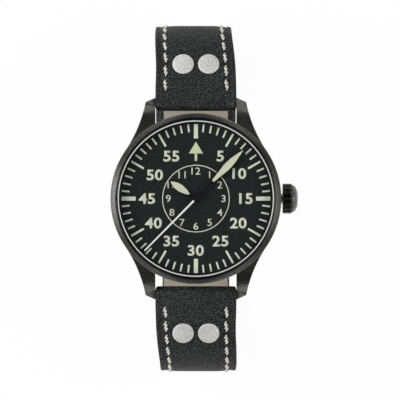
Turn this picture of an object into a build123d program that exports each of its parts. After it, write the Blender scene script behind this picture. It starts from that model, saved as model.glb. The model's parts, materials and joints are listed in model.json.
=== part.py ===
from build123d import *
import os
from math import asin, atan2, ceil, cos, degrees, hypot, pi, radians, sin, sqrt

# Pilot watch at worn size, its strap buckled in a closed loop, standing dial up.
# +Z is the dial's normal, +Y is 12 o'clock and +X runs along the crown.
# The origin is on the hands' axis, in the plane that the buckle and keepers stand on.

os.makedirs("parts", exist_ok=True)

# Clearances
running_clearance = 0.05
seat_clearance = 0.05
side_clearance = 0.3
layer_gap = 0.3
wheel_gap = 0.12
cut_overrun = 1.0

# Case
case_diameter = 42.0
movement_diameter = 26.0
case_side_height = 3.4
case_foot_step = 1.7
case_foot_diameter = case_diameter - 2 * case_foot_step
mid_case_height = 7.2
lug_reach = 3.9
lug_to_lug = case_diameter + 2 * lug_reach
lug_gap = 20.0
lug_tip_width = 2.4
lug_tip_outer_x = lug_gap / 2 + lug_tip_width
lug_tip_slant = 1.1
lug_tip_corner_y = lug_to_lug / 2 - lug_tip_slant
lug_flank_radius = 32.0
lug_flank_depth = 9.0
lug_flank_end_y = case_diameter / 2 - lug_flank_depth
lug_root_depth = 8.0
lug_root_y = case_diameter / 2 - lug_root_depth
lug_top_drop = 0.6
lug_shoulder_inset = 5.2
lug_shoulder_y = lug_to_lug / 2 - lug_shoulder_inset
lug_shoulder_drop = 1.5
lug_facet_inset = 2.0
lug_facet_y = lug_to_lug / 2 - lug_facet_inset
lug_facet_height = 3.9
lug_tip_height = 2.1
lug_foot_inset = 0.5
lug_foot_height = 0.55
bezel_height = 2.4
bezel_slope_width = 1.1
bezel_ridge_diameter = case_diameter - 2 * bezel_slope_width
bezel_side_height = 1.55
bezel_inner_bevel_drop = 0.35
bezel_edge_bevel = 0.2
bezel_lip_width = 0.57
bezel_bore_diameter = bezel_ridge_diameter - 2 * bezel_lip_width
gasket_wall = 0.38
crystal_diameter = bezel_bore_diameter - 2 * gasket_wall
crystal_thickness = 1.5
crystal_bevel = 0.2
gasket_height = 0.95
case_rim_width = 1.9
dial_diameter = case_diameter - 2 * case_rim_width
dial_thickness = 0.4
flange_wall = 0.35
view_diameter = dial_diameter - 2 * flange_wall
flange_height = 1.7
dial_hole_diameter = 2.2
dial_foot_diameter = 0.8
dial_foot_length = 1.0
movement_edge = 2.0
dial_foot_reach = movement_diameter / 2 - movement_edge
dial_foot_turn = 48.0
back_flange_height = 1.2
back_flange_inset = 0.5
back_flange_diameter = case_foot_diameter - 2 * back_flange_inset
back_thread_inset = 1.8
back_plug_diameter = back_flange_diameter - 2 * back_thread_inset
back_plug_height = 1.4
back_wall = 1.4
opener_count = 6
opener_width = 3.4
opener_depth = 1.1
back_seal_gap = 0.3
back_seal_inner_diameter = back_plug_diameter + 2 * back_seal_gap
back_seal_width = 0.8
back_seal_outer_diameter = back_seal_inner_diameter + 2 * back_seal_width
back_seal_height = 0.5

# Crown and stem
crown_diameter = 7.35
crown_gap = 0.3
crown_barrel_length = 2.3
crown_tip_length = 1.45
crown_ring_shares = (0, 0.38, 0.76, 1.0)
crown_ring_diameters = (7.03, 6.3, 4.5, 2.6)
flute_count = 16
flute_diameter = 1.1
flute_depth = 0.26
crown_height = 5.6
tube_outer_diameter = 2.5
tube_inner_diameter = 1.4
tube_flange_diameter = 3.2
tube_reach = 1.3
seal_thickness = 0.4
stem_diameter = 1.2
stem_thread_length = 1.1
stem_square = 0.84
stem_square_start_x = 7.6
stem_square_length = 3.4
stem_block_inset = 0.2
stem_block_length = 1.4
stem_block_outer_x = movement_diameter / 2 - stem_block_inset
stem_block_inner_x = stem_block_outer_x - stem_block_length
stem_block_width = 3.0
stem_block_height = 1.3
winding_slot_width = 3.5
winding_slot_height = 1.15
winding_slot_start_x = 7.4

# Hands
hour_hand_length = 7.9
hour_hand_width = 2.25
hand_end_gap = 0.75
minute_hand_shortfall = 0.7
seconds_hand_length = view_diameter / 2 - hand_end_gap
minute_hand_length = seconds_hand_length - minute_hand_shortfall
minute_hand_width = 2.2
seconds_hand_width = 0.46
seconds_tip_width = 0.34
seconds_tail_length = 4.6
seconds_tail_width = 0.8
hand_thickness = 0.18
hand_rim = 0.24
hand_point_rim = 0.65
hub_diameter = 2.2
hub_rise = 0.14
hour_hand_angle = 304.0
minute_hand_angle = 44.2
seconds_hand_angle = 224.6
hour_hand_height = 8.4
minute_hand_height = 8.85
seconds_hand_height = 9.25

# Movement
mainplate_height = 6.1
mainplate_thickness = 1.5
motion_floor_height = 6.85
bridge_height = 3.2
bridge_thickness = 0.8
bridge_gap = 0.35
pillar_diameter = 1.9
pillar_margin = 0.35
pivot_margin = 0.5
cock_nose_diameter = 2.8
stud_diameter = 0.5
stud_turn = 330.0
hairspring_steps = 12
pillar_reach = movement_diameter / 2 - movement_edge
inner_pillar_reach = 6.5
inner_pillar_diameter = 1.2
screw_head_diameter = 1.3
screw_head_height = 0.35
screw_diameter = 0.6
screw_depth = 0.9
arbor_diameter = 0.44
fine_arbor_diameter = 0.3
arbor_hole_depth = 0.5
jewel_diameter = 1.1
jewel_thickness = 0.3
wheel_thickness = 0.15
pinion_thickness = 0.3
train_distance = 4.4
third_angle = 175.0
escape_distance = 3.85
escape_angle = 294.0
barrel_angle = 60.0
barrel_module = 0.156
barrel_teeth = 60
centre_pinion_teeth = 10
centre_wheel_teeth = 64
third_pinion_teeth = 8
third_wheel_teeth = 60
fourth_pinion_teeth = 8
fourth_wheel_teeth = 60
escape_pinion_teeth = 6
escape_wheel_teeth = 15
escape_wheel_diameter = 4.6
escape_tooth_depth = 0.55
escape_tooth_rake = 12.0
escape_tooth_back = 3.0
escape_tooth_end = 14.0
centre_wheel_height = 5.78
third_wheel_height = 4.7
fourth_wheel_height = 4.4
escape_wheel_height = 5.1
centre_pinion_height = 5.0
centre_pinion_thickness = 0.5
third_pinion_height = 5.68
fourth_pinion_height = 4.6
escape_pinion_height = 4.33
centre_arbor_diameter = 0.84
centre_bore_diameter = 0.5
seconds_arbor_diameter = 0.4
barrel_height = 4.92
barrel_thickness = 0.72
barrel_drum_diameter = 8.7
barrel_tooth_height = 5.12
barrel_tooth_thickness = 0.25
barrel_arbor_diameter = 1.0
ratchet_height = 4.08
ratchet_teeth = 42
crown_wheel_teeth = 28
winding_thickness = 0.2
crown_wheel_x = 6.2
winding_pinion_teeth = 16
winding_pinion_length = 0.7
sliding_pinion_length = 1.3
sliding_pinion_diameter = 2.1
pinion_groove_diameter = 1.6
pinion_groove_width = 0.4
click_reach = 4.7
click_turn = 145.0
click_tip_turn = 118.0
click_diameter = 1.3
click_tip_diameter = 0.3
click_pin_diameter = 0.6
crown_wheel_pin_diameter = 1.0
winding_pin_rise = 0.05
fork_distance = 2.66
fork_to_balance = 3.2
lever_turn = 230.0
lever_reach = 2.4
lever_width = 0.34
lever_horn_width = 0.9
lever_horn_length = 0.35
fork_hub_diameter = 0.9
pallet_clearance = 0.16
pallet_depth = 0.45
pallet_half_angle = 30.0
balance_diameter = 8.4
balance_rim_width = 0.4
balance_height = 4.45
balance_rim_height = 0.4
balance_arm_width = 0.5
balance_hub_diameter = 1.2
roller_diameter = 1.7
roller_height = 5.32
roller_pin_diameter = 0.24
roller_pin_reach = 0.62
hairspring_height = 4.14
hairspring_strip_height = 0.16
hairspring_strip = 0.08
hairspring_inner_radius = 0.6
hairspring_outer_radius = 2.3
hairspring_turns = 4
motion_module = 0.15
cannon_teeth = 10
minute_wheel_teeth = 30
minute_pinion_teeth = 8
hour_wheel_teeth = 32
motion_angle = 250.0
minute_wheel_height = 6.95
hour_wheel_height = 7.2
cannon_height = 6.92
cannon_tooth_thickness = 0.2
minute_pinion_height = 7.15
motion_gap = 0.3
cannon_diameter = 1.06
cannon_bore_diameter = 0.9
hour_pipe_diameter = 1.7
hour_pipe_bore_diameter = 1.2
rotor_height = 2.1
rotor_thickness = 0.35
rotor_rim_height = 0.95
rotor_rim_width = 2.4
rotor_margin = 0.4
rotor_diameter = movement_diameter - 2 * rotor_margin
rotor_hub_diameter = 6.4
rotor_rest_angle = 250.0
post_diameter = 2.4
post_head_diameter = 3.4
post_head_height = 0.3
clamp_overlap = 1.2
clamp_ring_wall = 1.1
clamp_inner_reach = movement_diameter / 2 - clamp_overlap
clamp_outer_reach = back_plug_diameter / 2 - clamp_ring_wall
clamp_width = 2.2
clamp_thickness = 0.35
clamp_screw_diameter = 1.0
clamp_head_height = 0.4

# Strap, buckle and spring bars
strap_lug_width = 19.7
strap_buckle_width = 16.0
strap_taper_length = 70.0
strap_padded_thickness = 4.0
strap_plain_thickness = 2.2
strap_swell_length = 4.0
strap_padding_length = 45.0
lining_thickness = 0.8
lining_inset = 0.35
strap_tip_length = 9.0
strap_bow = 18.1
loop_half_width = lug_to_lug / 2 + strap_bow
loop_extreme_thickness = 3.3
shoulder_radius = 14.8
base_radius = 17.0
lead_angle = 8.0
dip_radius = 25.0
pin_y = 2.0
dip_start_reach = 11.0
dip_start_y = pin_y - dip_start_reach
tail_rise = 4.33
arc_step_angle = 9.0
bar_to_tip = 1.9
bar_diameter = 1.5
bar_over_back = 2.6
plunger_diameter = 1.0
plunger_length = 2.6
plunger_reach = 0.9
lug_hole_depth = 1.3
strap_eye_diameter = 2.8
pin_diameter = 1.2
pin_plunger_diameter = 0.8
buckle_eye_wall = 0.6
pin_eye_diameter = 2.6
tongue_slot_width = 3.0
tongue_slot_length = 2.9
keeper_thickness = 1.3
keeper_width = 5.0
keeper_tuck = 0.5
keeper_clearance = 0.15
keeper_corner = 1.0
fixed_keeper_reach = 18.8
fixed_keeper_y = pin_y + fixed_keeper_reach
free_keeper_reach = 7.0
free_keeper_y = pin_y + free_keeper_reach
buckle_length = 13.0
buckle_bar_width = 2.0
buckle_bar_height = 2.3
buckle_arm = 1.7
buckle_corner = 1.8
buckle_eye_diameter = 3.0
tongue_width = 1.9
tongue_thickness = 1.1
tongue_eye_diameter = 2.3
tongue_eye_width = 2.4
tongue_rest_height = 0.75
tongue_bend_reach = 2.2
tongue_bend_rise = 0.15
notch_depth = 1.5
notch_end_wall = 0.5
strap_hole_width = 2.4
strap_hole_length = 4.6
strap_hole_reach = 1.2
spare_hole_diameter = 2.0
spare_hole_pitch = 6.5
rivet_diameter = 5.15
rivet_spacing = 6.3
rivet_y = 33.2
rivet_route_length = 4.6
rivet_head_height = 0.6
rivet_rim_height = 0.2
rivet_dome_taper = 55
rivet_shank_diameter = 1.8
rivet_cap_diameter = 4.0
rivet_cap_height = 0.4
rivet_sink = 0.15

# Shares of a wheel's module and pitch
addendum_share = 1.0
dedendum_share = 1.25
root_flat_share = 0.1
small_round_sides = 12
tip_width_shares = (1.0, 0.93, 0.7, 0.36)
hour_leaf_shares = (0.14, 0.22, 0.38, 0.58, 0.75, 0.89, 1.0)
minute_leaf_shares = (0.2, 0.34, 0.48, 0.63, 0.77, 0.89, 1.0)
leaf_width_shares = (0.3, 0.46, 0.8, 1.0, 0.9, 0.52, 0.0)
spare_hole_steps = (-2, -1, 1, 2, 3)


# Routes and outlines

def polar(reach, angle, middle=(0, 0)):
    """The point at a distance and an angle in degrees from a middle."""
    return (middle[0] + reach * cos(radians(angle)), middle[1] + reach * sin(radians(angle)))


def clockwise(angle):
    """A dial angle, clockwise from 12, as an angle from +X."""
    return 90 - angle


def route_places(start_y, start_z, moves):
    """Walks out from a lug bar and down round the loop, from runs and arcs.

    A move is its length, the degrees that it turns inward and its number of steps. Each place
    is the distance walked, y, z and the heading in degrees below the horizontal.
    """
    distance = 0
    y = start_y
    z = start_z
    heading = lead_angle
    places = [(distance, y, z, heading)]
    for length, turn, steps in moves:
        for step in range(steps):
            bend = turn / steps
            chord = length / steps
            if bend:
                chord = 2 * chord / radians(bend) * sin(radians(bend / 2))
            y += chord * cos(radians(heading + bend / 2))
            z -= chord * sin(radians(heading + bend / 2))
            heading += bend
            distance += length / steps
            places.append((distance, y, z, heading))
    return places


def arc_move(radius, turn):
    """A move round an arc, in steps of about the same angle."""
    return (radius * radians(abs(turn)), turn, ceil(abs(turn) / arc_step_angle))


def strap_thickness(distance):
    """Padded beyond the lug's bar and thinner towards the buckle."""
    if distance < strap_swell_length:
        swell = strap_padded_thickness - strap_eye_diameter
        return strap_eye_diameter + swell * distance / strap_swell_length
    thinned = min(1, (distance - strap_swell_length) / strap_padding_length)
    return strap_padded_thickness + (strap_plain_thickness - strap_padded_thickness) * thinned


def strap_width(distance):
    """Tapers evenly from the lugs to the buckle."""
    taper = min(1, distance / strap_taper_length)
    return strap_lug_width + (strap_buckle_width - strap_lug_width) * taper


def strap_plane(side, y, z, heading):
    """A plane across the strap: its x runs across and its y points to the wrist."""
    tangent = (0, side * cos(radians(heading)), -sin(radians(heading)))
    return Plane(origin=(0, side * y, z), x_dir=(side, 0, 0), z_dir=tangent)


def strap_normal_plane(side, y, z, heading):
    """A plane lying on the strap's middle layer, facing outward."""
    outward = (0, side * sin(radians(heading)), cos(radians(heading)))
    return Plane(origin=(0, side * y, z), x_dir=(side, 0, 0), z_dir=outward)


def wheel_points(teeth, module, turn, axis_place=(0, 0)):
    """The outline of a toothed wheel with pointed teeth and narrow flat roots."""
    pitch = 360 / teeth
    tip = module * (teeth / 2 + addendum_share)
    root = module * (teeth / 2 - dedendum_share)
    points = []
    for tooth in range(teeth):
        middle = turn + tooth * pitch
        points.append(polar(tip, middle, axis_place))
        points.append(polar(root, middle + pitch * (1 / 2 - root_flat_share), axis_place))
        points.append(polar(root, middle + pitch * (1 / 2 + root_flat_share), axis_place))
    return points


def meshing_turn(turn, teeth, direction, mate_teeth):
    """The turn that puts the mate's gap at this wheel's tooth, along their line of centres."""
    past = (direction - turn) / (360 / teeth) % 1
    return direction + 180 + (past - 1 / 2) * 360 / mate_teeth


def small_round(radius, mode=Mode.ADD):
    """A small round that the closed watch hides, drawn with few sides to spare facets."""
    RegularPolygon(radius, small_round_sides, mode=mode)


def finish(piece, name):
    """Labels a finished piece and writes it."""
    piece.part.label = name
    export_step(piece.part, f"parts/{name}.step")


# Levels, from the standing plane up through the buckled strap to the head

tail_z = keeper_thickness + keeper_clearance + strap_plain_thickness / 2
short_z = tail_z + strap_plain_thickness + layer_gap
far_tail_z = buckle_bar_height + keeper_clearance + strap_plain_thickness / 2
bar_y = lug_to_lug / 2 - bar_to_tip
shoulder_turn = 90 - lead_angle
shoulder_out = shoulder_radius * (1 - sin(radians(lead_angle)))
shoulder_drop = shoulder_radius * cos(radians(lead_angle))
extreme_y = loop_half_width - loop_extreme_thickness / 2
lead_run = (extreme_y - bar_y - shoulder_out) / cos(radians(lead_angle))
lead_drop = lead_run * sin(radians(lead_angle))
bar_z = short_z + base_radius + shoulder_drop + lead_drop
back_z = bar_z - bar_over_back
mid_bottom_z = back_z + back_flange_height
mid_top_z = mid_bottom_z + mid_case_height
dial_seat_z = back_z + mainplate_height + mainplate_thickness
dial_top_z = dial_seat_z + dial_thickness
crystal_z = dial_top_z + flange_height
crown_z = back_z + crown_height

# Routes of the two strap halves

base_y = extreme_y - base_radius
short_run = base_y - pin_y
strap_short_length = lead_run + shoulder_radius * radians(shoulder_turn) + base_radius * pi / 2 + short_run
short_moves = [
    (lead_run, 0, 2),
    arc_move(shoulder_radius, shoulder_turn),
    arc_move(base_radius, 90),
    (short_run, 0, 3),
]
short_places = route_places(bar_y, bar_z, short_moves)

long_base_radius = bar_z - far_tail_z - shoulder_drop - lead_drop
long_base_y = extreme_y - long_base_radius
dip_drop = far_tail_z - tail_z
dip_turn = degrees(asin(sqrt(1 - (1 - dip_drop / 2 / dip_radius) ** 2)))
dip_length = 2 * dip_radius * sin(radians(dip_turn))
tail_flat = base_y - (dip_start_y + dip_length)
tail_arc_radius = base_radius + short_z - tail_z
tail_rise_turn = degrees(tail_rise / tail_arc_radius)
tip_turn = degrees(strap_tip_length / tail_arc_radius)
long_moves = [
    (lead_run, 0, 2),
    arc_move(shoulder_radius, shoulder_turn),
    arc_move(long_base_radius, 90),
    (long_base_y + dip_start_y, 0, 2),
    arc_move(dip_radius, -dip_turn),
    arc_move(dip_radius, dip_turn),
    (tail_flat, 0, 3),
    (tail_rise, tail_rise_turn, 1),
    (strap_tip_length, tip_turn, 3),
]
long_places = route_places(bar_y, bar_z, long_moves)

# Axes of the train

barrel_distance = barrel_module * (barrel_teeth + centre_pinion_teeth) / 2
third_module = 2 * train_distance / (centre_wheel_teeth + third_pinion_teeth)
fourth_module = 2 * train_distance / (third_wheel_teeth + fourth_pinion_teeth)
escape_module = 2 * escape_distance / (fourth_wheel_teeth + escape_pinion_teeth)
barrel_axis = polar(barrel_distance, barrel_angle)
third_axis = polar(train_distance, third_angle)
escape_axis = polar(escape_distance, escape_angle)
fork_axis = polar(fork_distance, lever_turn, escape_axis)
balance_axis = polar(fork_distance + fork_to_balance, lever_turn, escape_axis)
motion_distance = motion_module * (cannon_teeth + minute_wheel_teeth) / 2
motion_axis = polar(motion_distance, motion_angle)
crown_wheel_axis = (crown_wheel_x, 0)
winding_span = hypot(barrel_axis[0] - crown_wheel_x, barrel_axis[1])
winding_turn = degrees(atan2(barrel_axis[1], barrel_axis[0] - crown_wheel_x))
winding_module = 2 * winding_span / (ratchet_teeth + crown_wheel_teeth)
mainplate_z = back_z + mainplate_height
bridge_z = back_z + bridge_height
bridge_top_z = bridge_z + bridge_thickness
pivot_height = mainplate_z - bridge_top_z

# Mid case with four lugs

with BuildPart() as lug:
    with BuildSketch(Plane.XY.offset(back_z - cut_overrun)):
        with BuildLine():
            flank_end = (sqrt((case_diameter / 2) ** 2 - lug_flank_end_y**2), lug_flank_end_y)
            Line((lug_gap / 2, lug_root_y), (lug_gap / 2, lug_to_lug / 2))
            Line((lug_gap / 2, lug_to_lug / 2), (lug_tip_outer_x, lug_tip_corner_y))
            RadiusArc((lug_tip_outer_x, lug_tip_corner_y), flank_end, -lug_flank_radius)
            Line(flank_end, (lug_gap / 2, lug_root_y))
        make_face()
        fillet(vertices().sort_by(Axis.Y)[-2], lug_foot_inset)
    extrude(amount=mid_top_z - back_z + 2 * cut_overrun)
    with BuildSketch(Plane.YZ.offset(lug_gap / 2 - cut_overrun)):
        with BuildLine():
            top_start = (lug_flank_end_y - cut_overrun, mid_top_z - lug_top_drop)
            shoulder = (lug_shoulder_y, mid_top_z - lug_shoulder_drop)
            facet = (lug_facet_y, back_z + lug_facet_height)
            ThreePointArc(top_start, shoulder, facet)
            Polyline(
                facet,
                (lug_to_lug / 2, back_z + lug_tip_height),
                (lug_to_lug / 2 - lug_foot_inset, back_z + lug_foot_height),
                (case_foot_diameter / 2 - lug_foot_inset, mid_bottom_z),
                (lug_flank_end_y - cut_overrun, mid_bottom_z),
                top_start,
            )
        make_face()
    extrude(amount=case_diameter / 2, mode=Mode.INTERSECT)

with BuildPart() as mid_case:
    add(lug.part)
    mirror(about=Plane.YZ)
    mirror(about=Plane.XZ)
    with BuildSketch(Plane.XZ):
        with BuildLine():
            Polyline(
                (0, mid_bottom_z),
                (case_foot_diameter / 2, mid_bottom_z),
                (case_diameter / 2, mid_top_z - case_side_height),
                (case_diameter / 2, mid_top_z),
                (0, mid_top_z),
                close=True,
            )
        make_face()
    revolve(axis=Axis.Z)
    with BuildSketch(Plane.XY.offset(mid_bottom_z - cut_overrun)):
        Circle(back_plug_diameter / 2 + seat_clearance)
    extrude(amount=mid_case_height + 2 * cut_overrun, mode=Mode.SUBTRACT)
    with BuildSketch(Plane.XY.offset(dial_seat_z)):
        Circle(dial_diameter / 2 + seat_clearance)
    extrude(amount=mid_case_height, mode=Mode.SUBTRACT)
    with BuildSketch(Plane.XY.offset(mid_bottom_z - cut_overrun)):
        Circle(back_seal_outer_diameter / 2)
        Circle(back_seal_inner_diameter / 2, mode=Mode.SUBTRACT)
    extrude(amount=back_seal_height + cut_overrun, mode=Mode.SUBTRACT)
    with BuildSketch(Plane.YZ.offset(back_plug_diameter / 2 - cut_overrun)):
        with Locations((0, crown_z)):
            small_round(tube_outer_diameter / 2)
    extrude(amount=case_diameter / 2 - back_plug_diameter / 2 + 2 * cut_overrun, mode=Mode.SUBTRACT)
    for side in (-1, 1):
        with BuildSketch(Plane.YZ.offset(-lug_gap / 2 - lug_hole_depth)):
            with Locations((side * bar_y, bar_z)):
                small_round(plunger_diameter / 2 + running_clearance)
        extrude(amount=lug_gap + 2 * lug_hole_depth, mode=Mode.SUBTRACT)
finish(mid_case, "mid_case")

# Bezel, crystal and the rings round the dial

bezel_top_z = mid_top_z + bezel_height
with BuildPart() as bezel:
    with BuildSketch(Plane.XZ):
        with BuildLine():
            Polyline(
                (dial_diameter / 2 + seat_clearance, mid_top_z),
                (case_diameter / 2, mid_top_z),
                (case_diameter / 2, mid_top_z + bezel_side_height),
                (case_diameter / 2 - bezel_edge_bevel, mid_top_z + bezel_side_height + bezel_edge_bevel),
                (bezel_ridge_diameter / 2, bezel_top_z),
                (bezel_bore_diameter / 2, bezel_top_z - bezel_inner_bevel_drop),
                (bezel_bore_diameter / 2, dial_top_z + flange_height),
                (dial_diameter / 2 + seat_clearance, dial_top_z + flange_height),
                close=True,
            )
        make_face()
    revolve(axis=Axis.Z)
finish(bezel, "bezel")

with BuildPart() as crystal:
    with BuildSketch(Plane.XY.offset(crystal_z)):
        Circle(crystal_diameter / 2)
    extrude(amount=crystal_thickness)
    chamfer(crystal.edges().group_by(Axis.Z)[-1], crystal_bevel)
finish(crystal, "crystal")

with BuildPart() as crystal_gasket:
    with BuildSketch(Plane.XY.offset(crystal_z)):
        Circle(bezel_bore_diameter / 2)
        Circle(crystal_diameter / 2, mode=Mode.SUBTRACT)
    extrude(amount=gasket_height)
finish(crystal_gasket, "crystal_gasket")

with BuildPart() as flange_ring:
    with BuildSketch(Plane.XY.offset(dial_top_z)):
        Circle(dial_diameter / 2)
        Circle(view_diameter / 2, mode=Mode.SUBTRACT)
    extrude(amount=flange_height)
finish(flange_ring, "flange_ring")

dial_feet = [polar(dial_foot_reach, dial_foot_turn), polar(dial_foot_reach, dial_foot_turn + 180)]
with BuildPart() as dial:
    with BuildSketch(Plane.XY.offset(dial_seat_z)):
        Circle(dial_diameter / 2)
        Circle(dial_hole_diameter / 2, mode=Mode.SUBTRACT)
    extrude(amount=dial_thickness)
    with BuildSketch(Plane.XY.offset(dial_seat_z - dial_foot_length)):
        with Locations(*dial_feet):
            small_round(dial_foot_diameter / 2)
    extrude(amount=dial_foot_length)
finish(dial, "dial")

# Case back and its seal

with BuildPart() as case_back:
    with BuildSketch(Plane.XY.offset(back_z)):
        Circle(back_flange_diameter / 2)
        with PolarLocations(back_flange_diameter / 2, opener_count):
            Rectangle(2 * opener_depth, opener_width, mode=Mode.SUBTRACT)
    extrude(amount=back_flange_height)
    with BuildSketch(Plane.XY.offset(back_z + back_flange_height)):
        Circle(back_plug_diameter / 2)
        Circle(back_plug_diameter / 2 - back_wall, mode=Mode.SUBTRACT)
    extrude(amount=back_plug_height)
finish(case_back, "case_back")

with BuildPart() as back_gasket:
    with BuildSketch(Plane.XY.offset(mid_bottom_z)):
        Circle(back_seal_outer_diameter / 2 - seat_clearance)
        Circle(back_seal_inner_diameter / 2 + seat_clearance, mode=Mode.SUBTRACT)
    extrude(amount=back_seal_height - seat_clearance)
finish(back_gasket, "back_gasket")

# Movement ring, with the clamps and screws that hold the movement in it

ring_inner_radius = movement_diameter / 2 + seat_clearance
ring_bottom_z = mid_bottom_z + back_plug_height + seat_clearance
clamp_middle = (clamp_inner_reach + clamp_outer_reach) / 2
clamp_length = clamp_outer_reach - clamp_inner_reach
clamp_z = mainplate_z - clamp_thickness
clamp_screw_reach = clamp_outer_reach - clamp_screw_diameter

with BuildPart() as movement_ring:
    with BuildSketch(Plane.XY.offset(ring_bottom_z)):
        Circle(back_plug_diameter / 2)
        Circle(ring_inner_radius, mode=Mode.SUBTRACT)
    extrude(amount=dial_seat_z - ring_bottom_z)
    with BuildSketch(Plane.YZ):
        with Locations((0, crown_z)):
            Circle(tube_flange_diameter / 2 + running_clearance)
    extrude(amount=case_diameter / 2, mode=Mode.SUBTRACT)
    with BuildSketch(Plane.XY.offset(ring_bottom_z)):
        with PolarLocations(clamp_middle, 2, start_angle=dial_foot_turn):
            Rectangle(clamp_length + 2 * seat_clearance, clamp_width + 2 * seat_clearance)
    extrude(amount=mainplate_z - ring_bottom_z, mode=Mode.SUBTRACT)
    with BuildSketch(Plane.XY.offset(mainplate_z)):
        with PolarLocations(clamp_screw_reach, 2, start_angle=dial_foot_turn):
            small_round(screw_diameter / 2)
    extrude(amount=screw_depth, mode=Mode.SUBTRACT)
finish(movement_ring, "movement_ring")

with BuildPart() as casing_clamps:
    with BuildSketch(Plane.XY.offset(clamp_z)):
        with PolarLocations(clamp_middle, 2, start_angle=dial_foot_turn):
            Rectangle(clamp_length, clamp_width)
        with PolarLocations(clamp_screw_reach, 2, start_angle=dial_foot_turn):
            small_round(screw_diameter / 2, mode=Mode.SUBTRACT)
    extrude(amount=clamp_thickness)
finish(casing_clamps, "casing_clamps")

with BuildPart() as clamp_screws:
    with BuildSketch(Plane.XY.offset(clamp_z - clamp_head_height)):
        with PolarLocations(clamp_screw_reach, 2, start_angle=dial_foot_turn):
            small_round(clamp_screw_diameter / 2)
    extrude(amount=clamp_head_height)
    with BuildSketch(Plane.XY.offset(clamp_z)):
        with PolarLocations(clamp_screw_reach, 2, start_angle=dial_foot_turn):
            small_round(screw_diameter / 2)
    extrude(amount=clamp_thickness + screw_depth)
finish(clamp_screws, "clamp_screws")

# Crown, its seal, tube and stem

crown_x = case_diameter / 2 + crown_gap
barrel_end_x = crown_x + crown_barrel_length
crown_end_x = barrel_end_x + crown_tip_length
tube_end_x = crown_x + tube_reach


def crown_ring(x, diameter, turn):
    """Points evenly round the crown's axis, one to each flute."""
    points = []
    for place in range(flute_count):
        y, z = polar(diameter / 2, (place + turn) * 360 / flute_count, (0, crown_z))
        points.append(Vector(x, y, z))
    return points


def crown_tip():
    """The crown's domed end: rows of three-cornered facets between rings half a flute apart."""
    rings = []
    for row, (share, diameter) in enumerate(zip(crown_ring_shares, crown_ring_diameters)):
        rings.append(crown_ring(barrel_end_x + crown_tip_length * share, diameter, row % 2 / 2))
    faces = [Face(Wire.make_polygon(rings[0])), Face(Wire.make_polygon(rings[-1]))]
    for row, (lower, upper) in enumerate(zip(rings, rings[1:])):
        for place in range(flute_count):
            after = (place + 1) % flute_count
            above, below = (upper[after], lower[place]) if row % 2 else (upper[place], lower[after])
            faces.append(Face(Wire.make_polygon((lower[place], lower[after], above))))
            faces.append(Face(Wire.make_polygon((upper[place], upper[after], below))))
    return Solid(Shell(faces))


with BuildPart() as crown:
    with BuildSketch(Plane.YZ.offset(crown_x)):
        with Locations((0, crown_z)):
            Circle(crown_diameter / 2)
            flute_reach = crown_diameter / 2 + flute_diameter / 2 - flute_depth
            with PolarLocations(flute_reach, flute_count, start_angle=180 / flute_count):
                Circle(flute_diameter / 2, mode=Mode.SUBTRACT)
    extrude(amount=crown_barrel_length)
    add(crown_tip())
    with BuildSketch(Plane.YZ.offset(crown_x)):
        with Locations((0, crown_z)):
            Circle(tube_outer_diameter / 2 + running_clearance)
    extrude(amount=tube_reach + running_clearance + seal_thickness, mode=Mode.SUBTRACT)
    with BuildSketch(Plane.YZ.offset(crown_x)):
        with Locations((0, crown_z)):
            small_round(stem_diameter / 2)
    extrude(amount=tube_reach + running_clearance + seal_thickness + stem_thread_length, mode=Mode.SUBTRACT)
finish(crown, "crown")

with BuildPart() as crown_gasket:
    with BuildSketch(Plane.YZ.offset(tube_end_x + running_clearance)):
        with Locations((0, crown_z)):
            small_round(tube_outer_diameter / 2)
            small_round(stem_diameter / 2 + seat_clearance, mode=Mode.SUBTRACT)
    extrude(amount=seal_thickness)
finish(crown_gasket, "crown_gasket")

with BuildPart() as crown_tube:
    with BuildSketch(Plane.YZ.offset(back_plug_diameter / 2 - wheel_gap)):
        with Locations((0, crown_z)):
            small_round(tube_outer_diameter / 2 - seat_clearance)
            small_round(tube_inner_diameter / 2, mode=Mode.SUBTRACT)
    extrude(amount=tube_end_x - back_plug_diameter / 2 + wheel_gap)
finish(crown_tube, "crown_tube")

stem_end_x = tube_end_x + running_clearance + seal_thickness + stem_thread_length
square_end_x = stem_square_start_x + stem_square_length
with BuildPart() as winding_stem:
    with BuildSketch(Plane.YZ.offset(stem_square_start_x)):
        with Locations((0, crown_z)):
            Rectangle(stem_square, stem_square)
    extrude(amount=stem_square_length)
    with BuildSketch(Plane.YZ.offset(square_end_x)):
        with Locations((0, crown_z)):
            small_round(stem_diameter / 2)
    extrude(amount=stem_end_x - square_end_x)
finish(winding_stem, "winding_stem")

crown_wheel_root = winding_module * (crown_wheel_teeth / 2 - dedendum_share)
winding_pinion_x = crown_wheel_x + crown_wheel_root + running_clearance
sliding_pinion_x = winding_pinion_x + winding_pinion_length
with BuildPart() as winding_pinions:
    with BuildSketch(Plane.YZ.offset(winding_pinion_x)):
        with BuildLine():
            Polyline(*wheel_points(winding_pinion_teeth, winding_module, -90, (0, crown_z)), close=True)
        make_face()
    extrude(amount=winding_pinion_length)
    with BuildSketch(Plane.YZ.offset(sliding_pinion_x)):
        with Locations((0, crown_z)):
            Circle(sliding_pinion_diameter / 2)
    extrude(amount=sliding_pinion_length)
    groove_x = sliding_pinion_x + (sliding_pinion_length - pinion_groove_width) / 2
    with BuildSketch(Plane.YZ.offset(groove_x)):
        with Locations((0, crown_z)):
            Circle(sliding_pinion_diameter / 2)
            Circle(pinion_groove_diameter / 2, mode=Mode.SUBTRACT)
    extrude(amount=pinion_groove_width, mode=Mode.SUBTRACT)
    with BuildSketch(Plane.YZ.offset(winding_pinion_x)):
        with Locations((0, crown_z)):
            Rectangle(stem_square + 2 * running_clearance, stem_square + 2 * running_clearance)
    extrude(amount=winding_pinion_length + sliding_pinion_length, mode=Mode.SUBTRACT)
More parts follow.
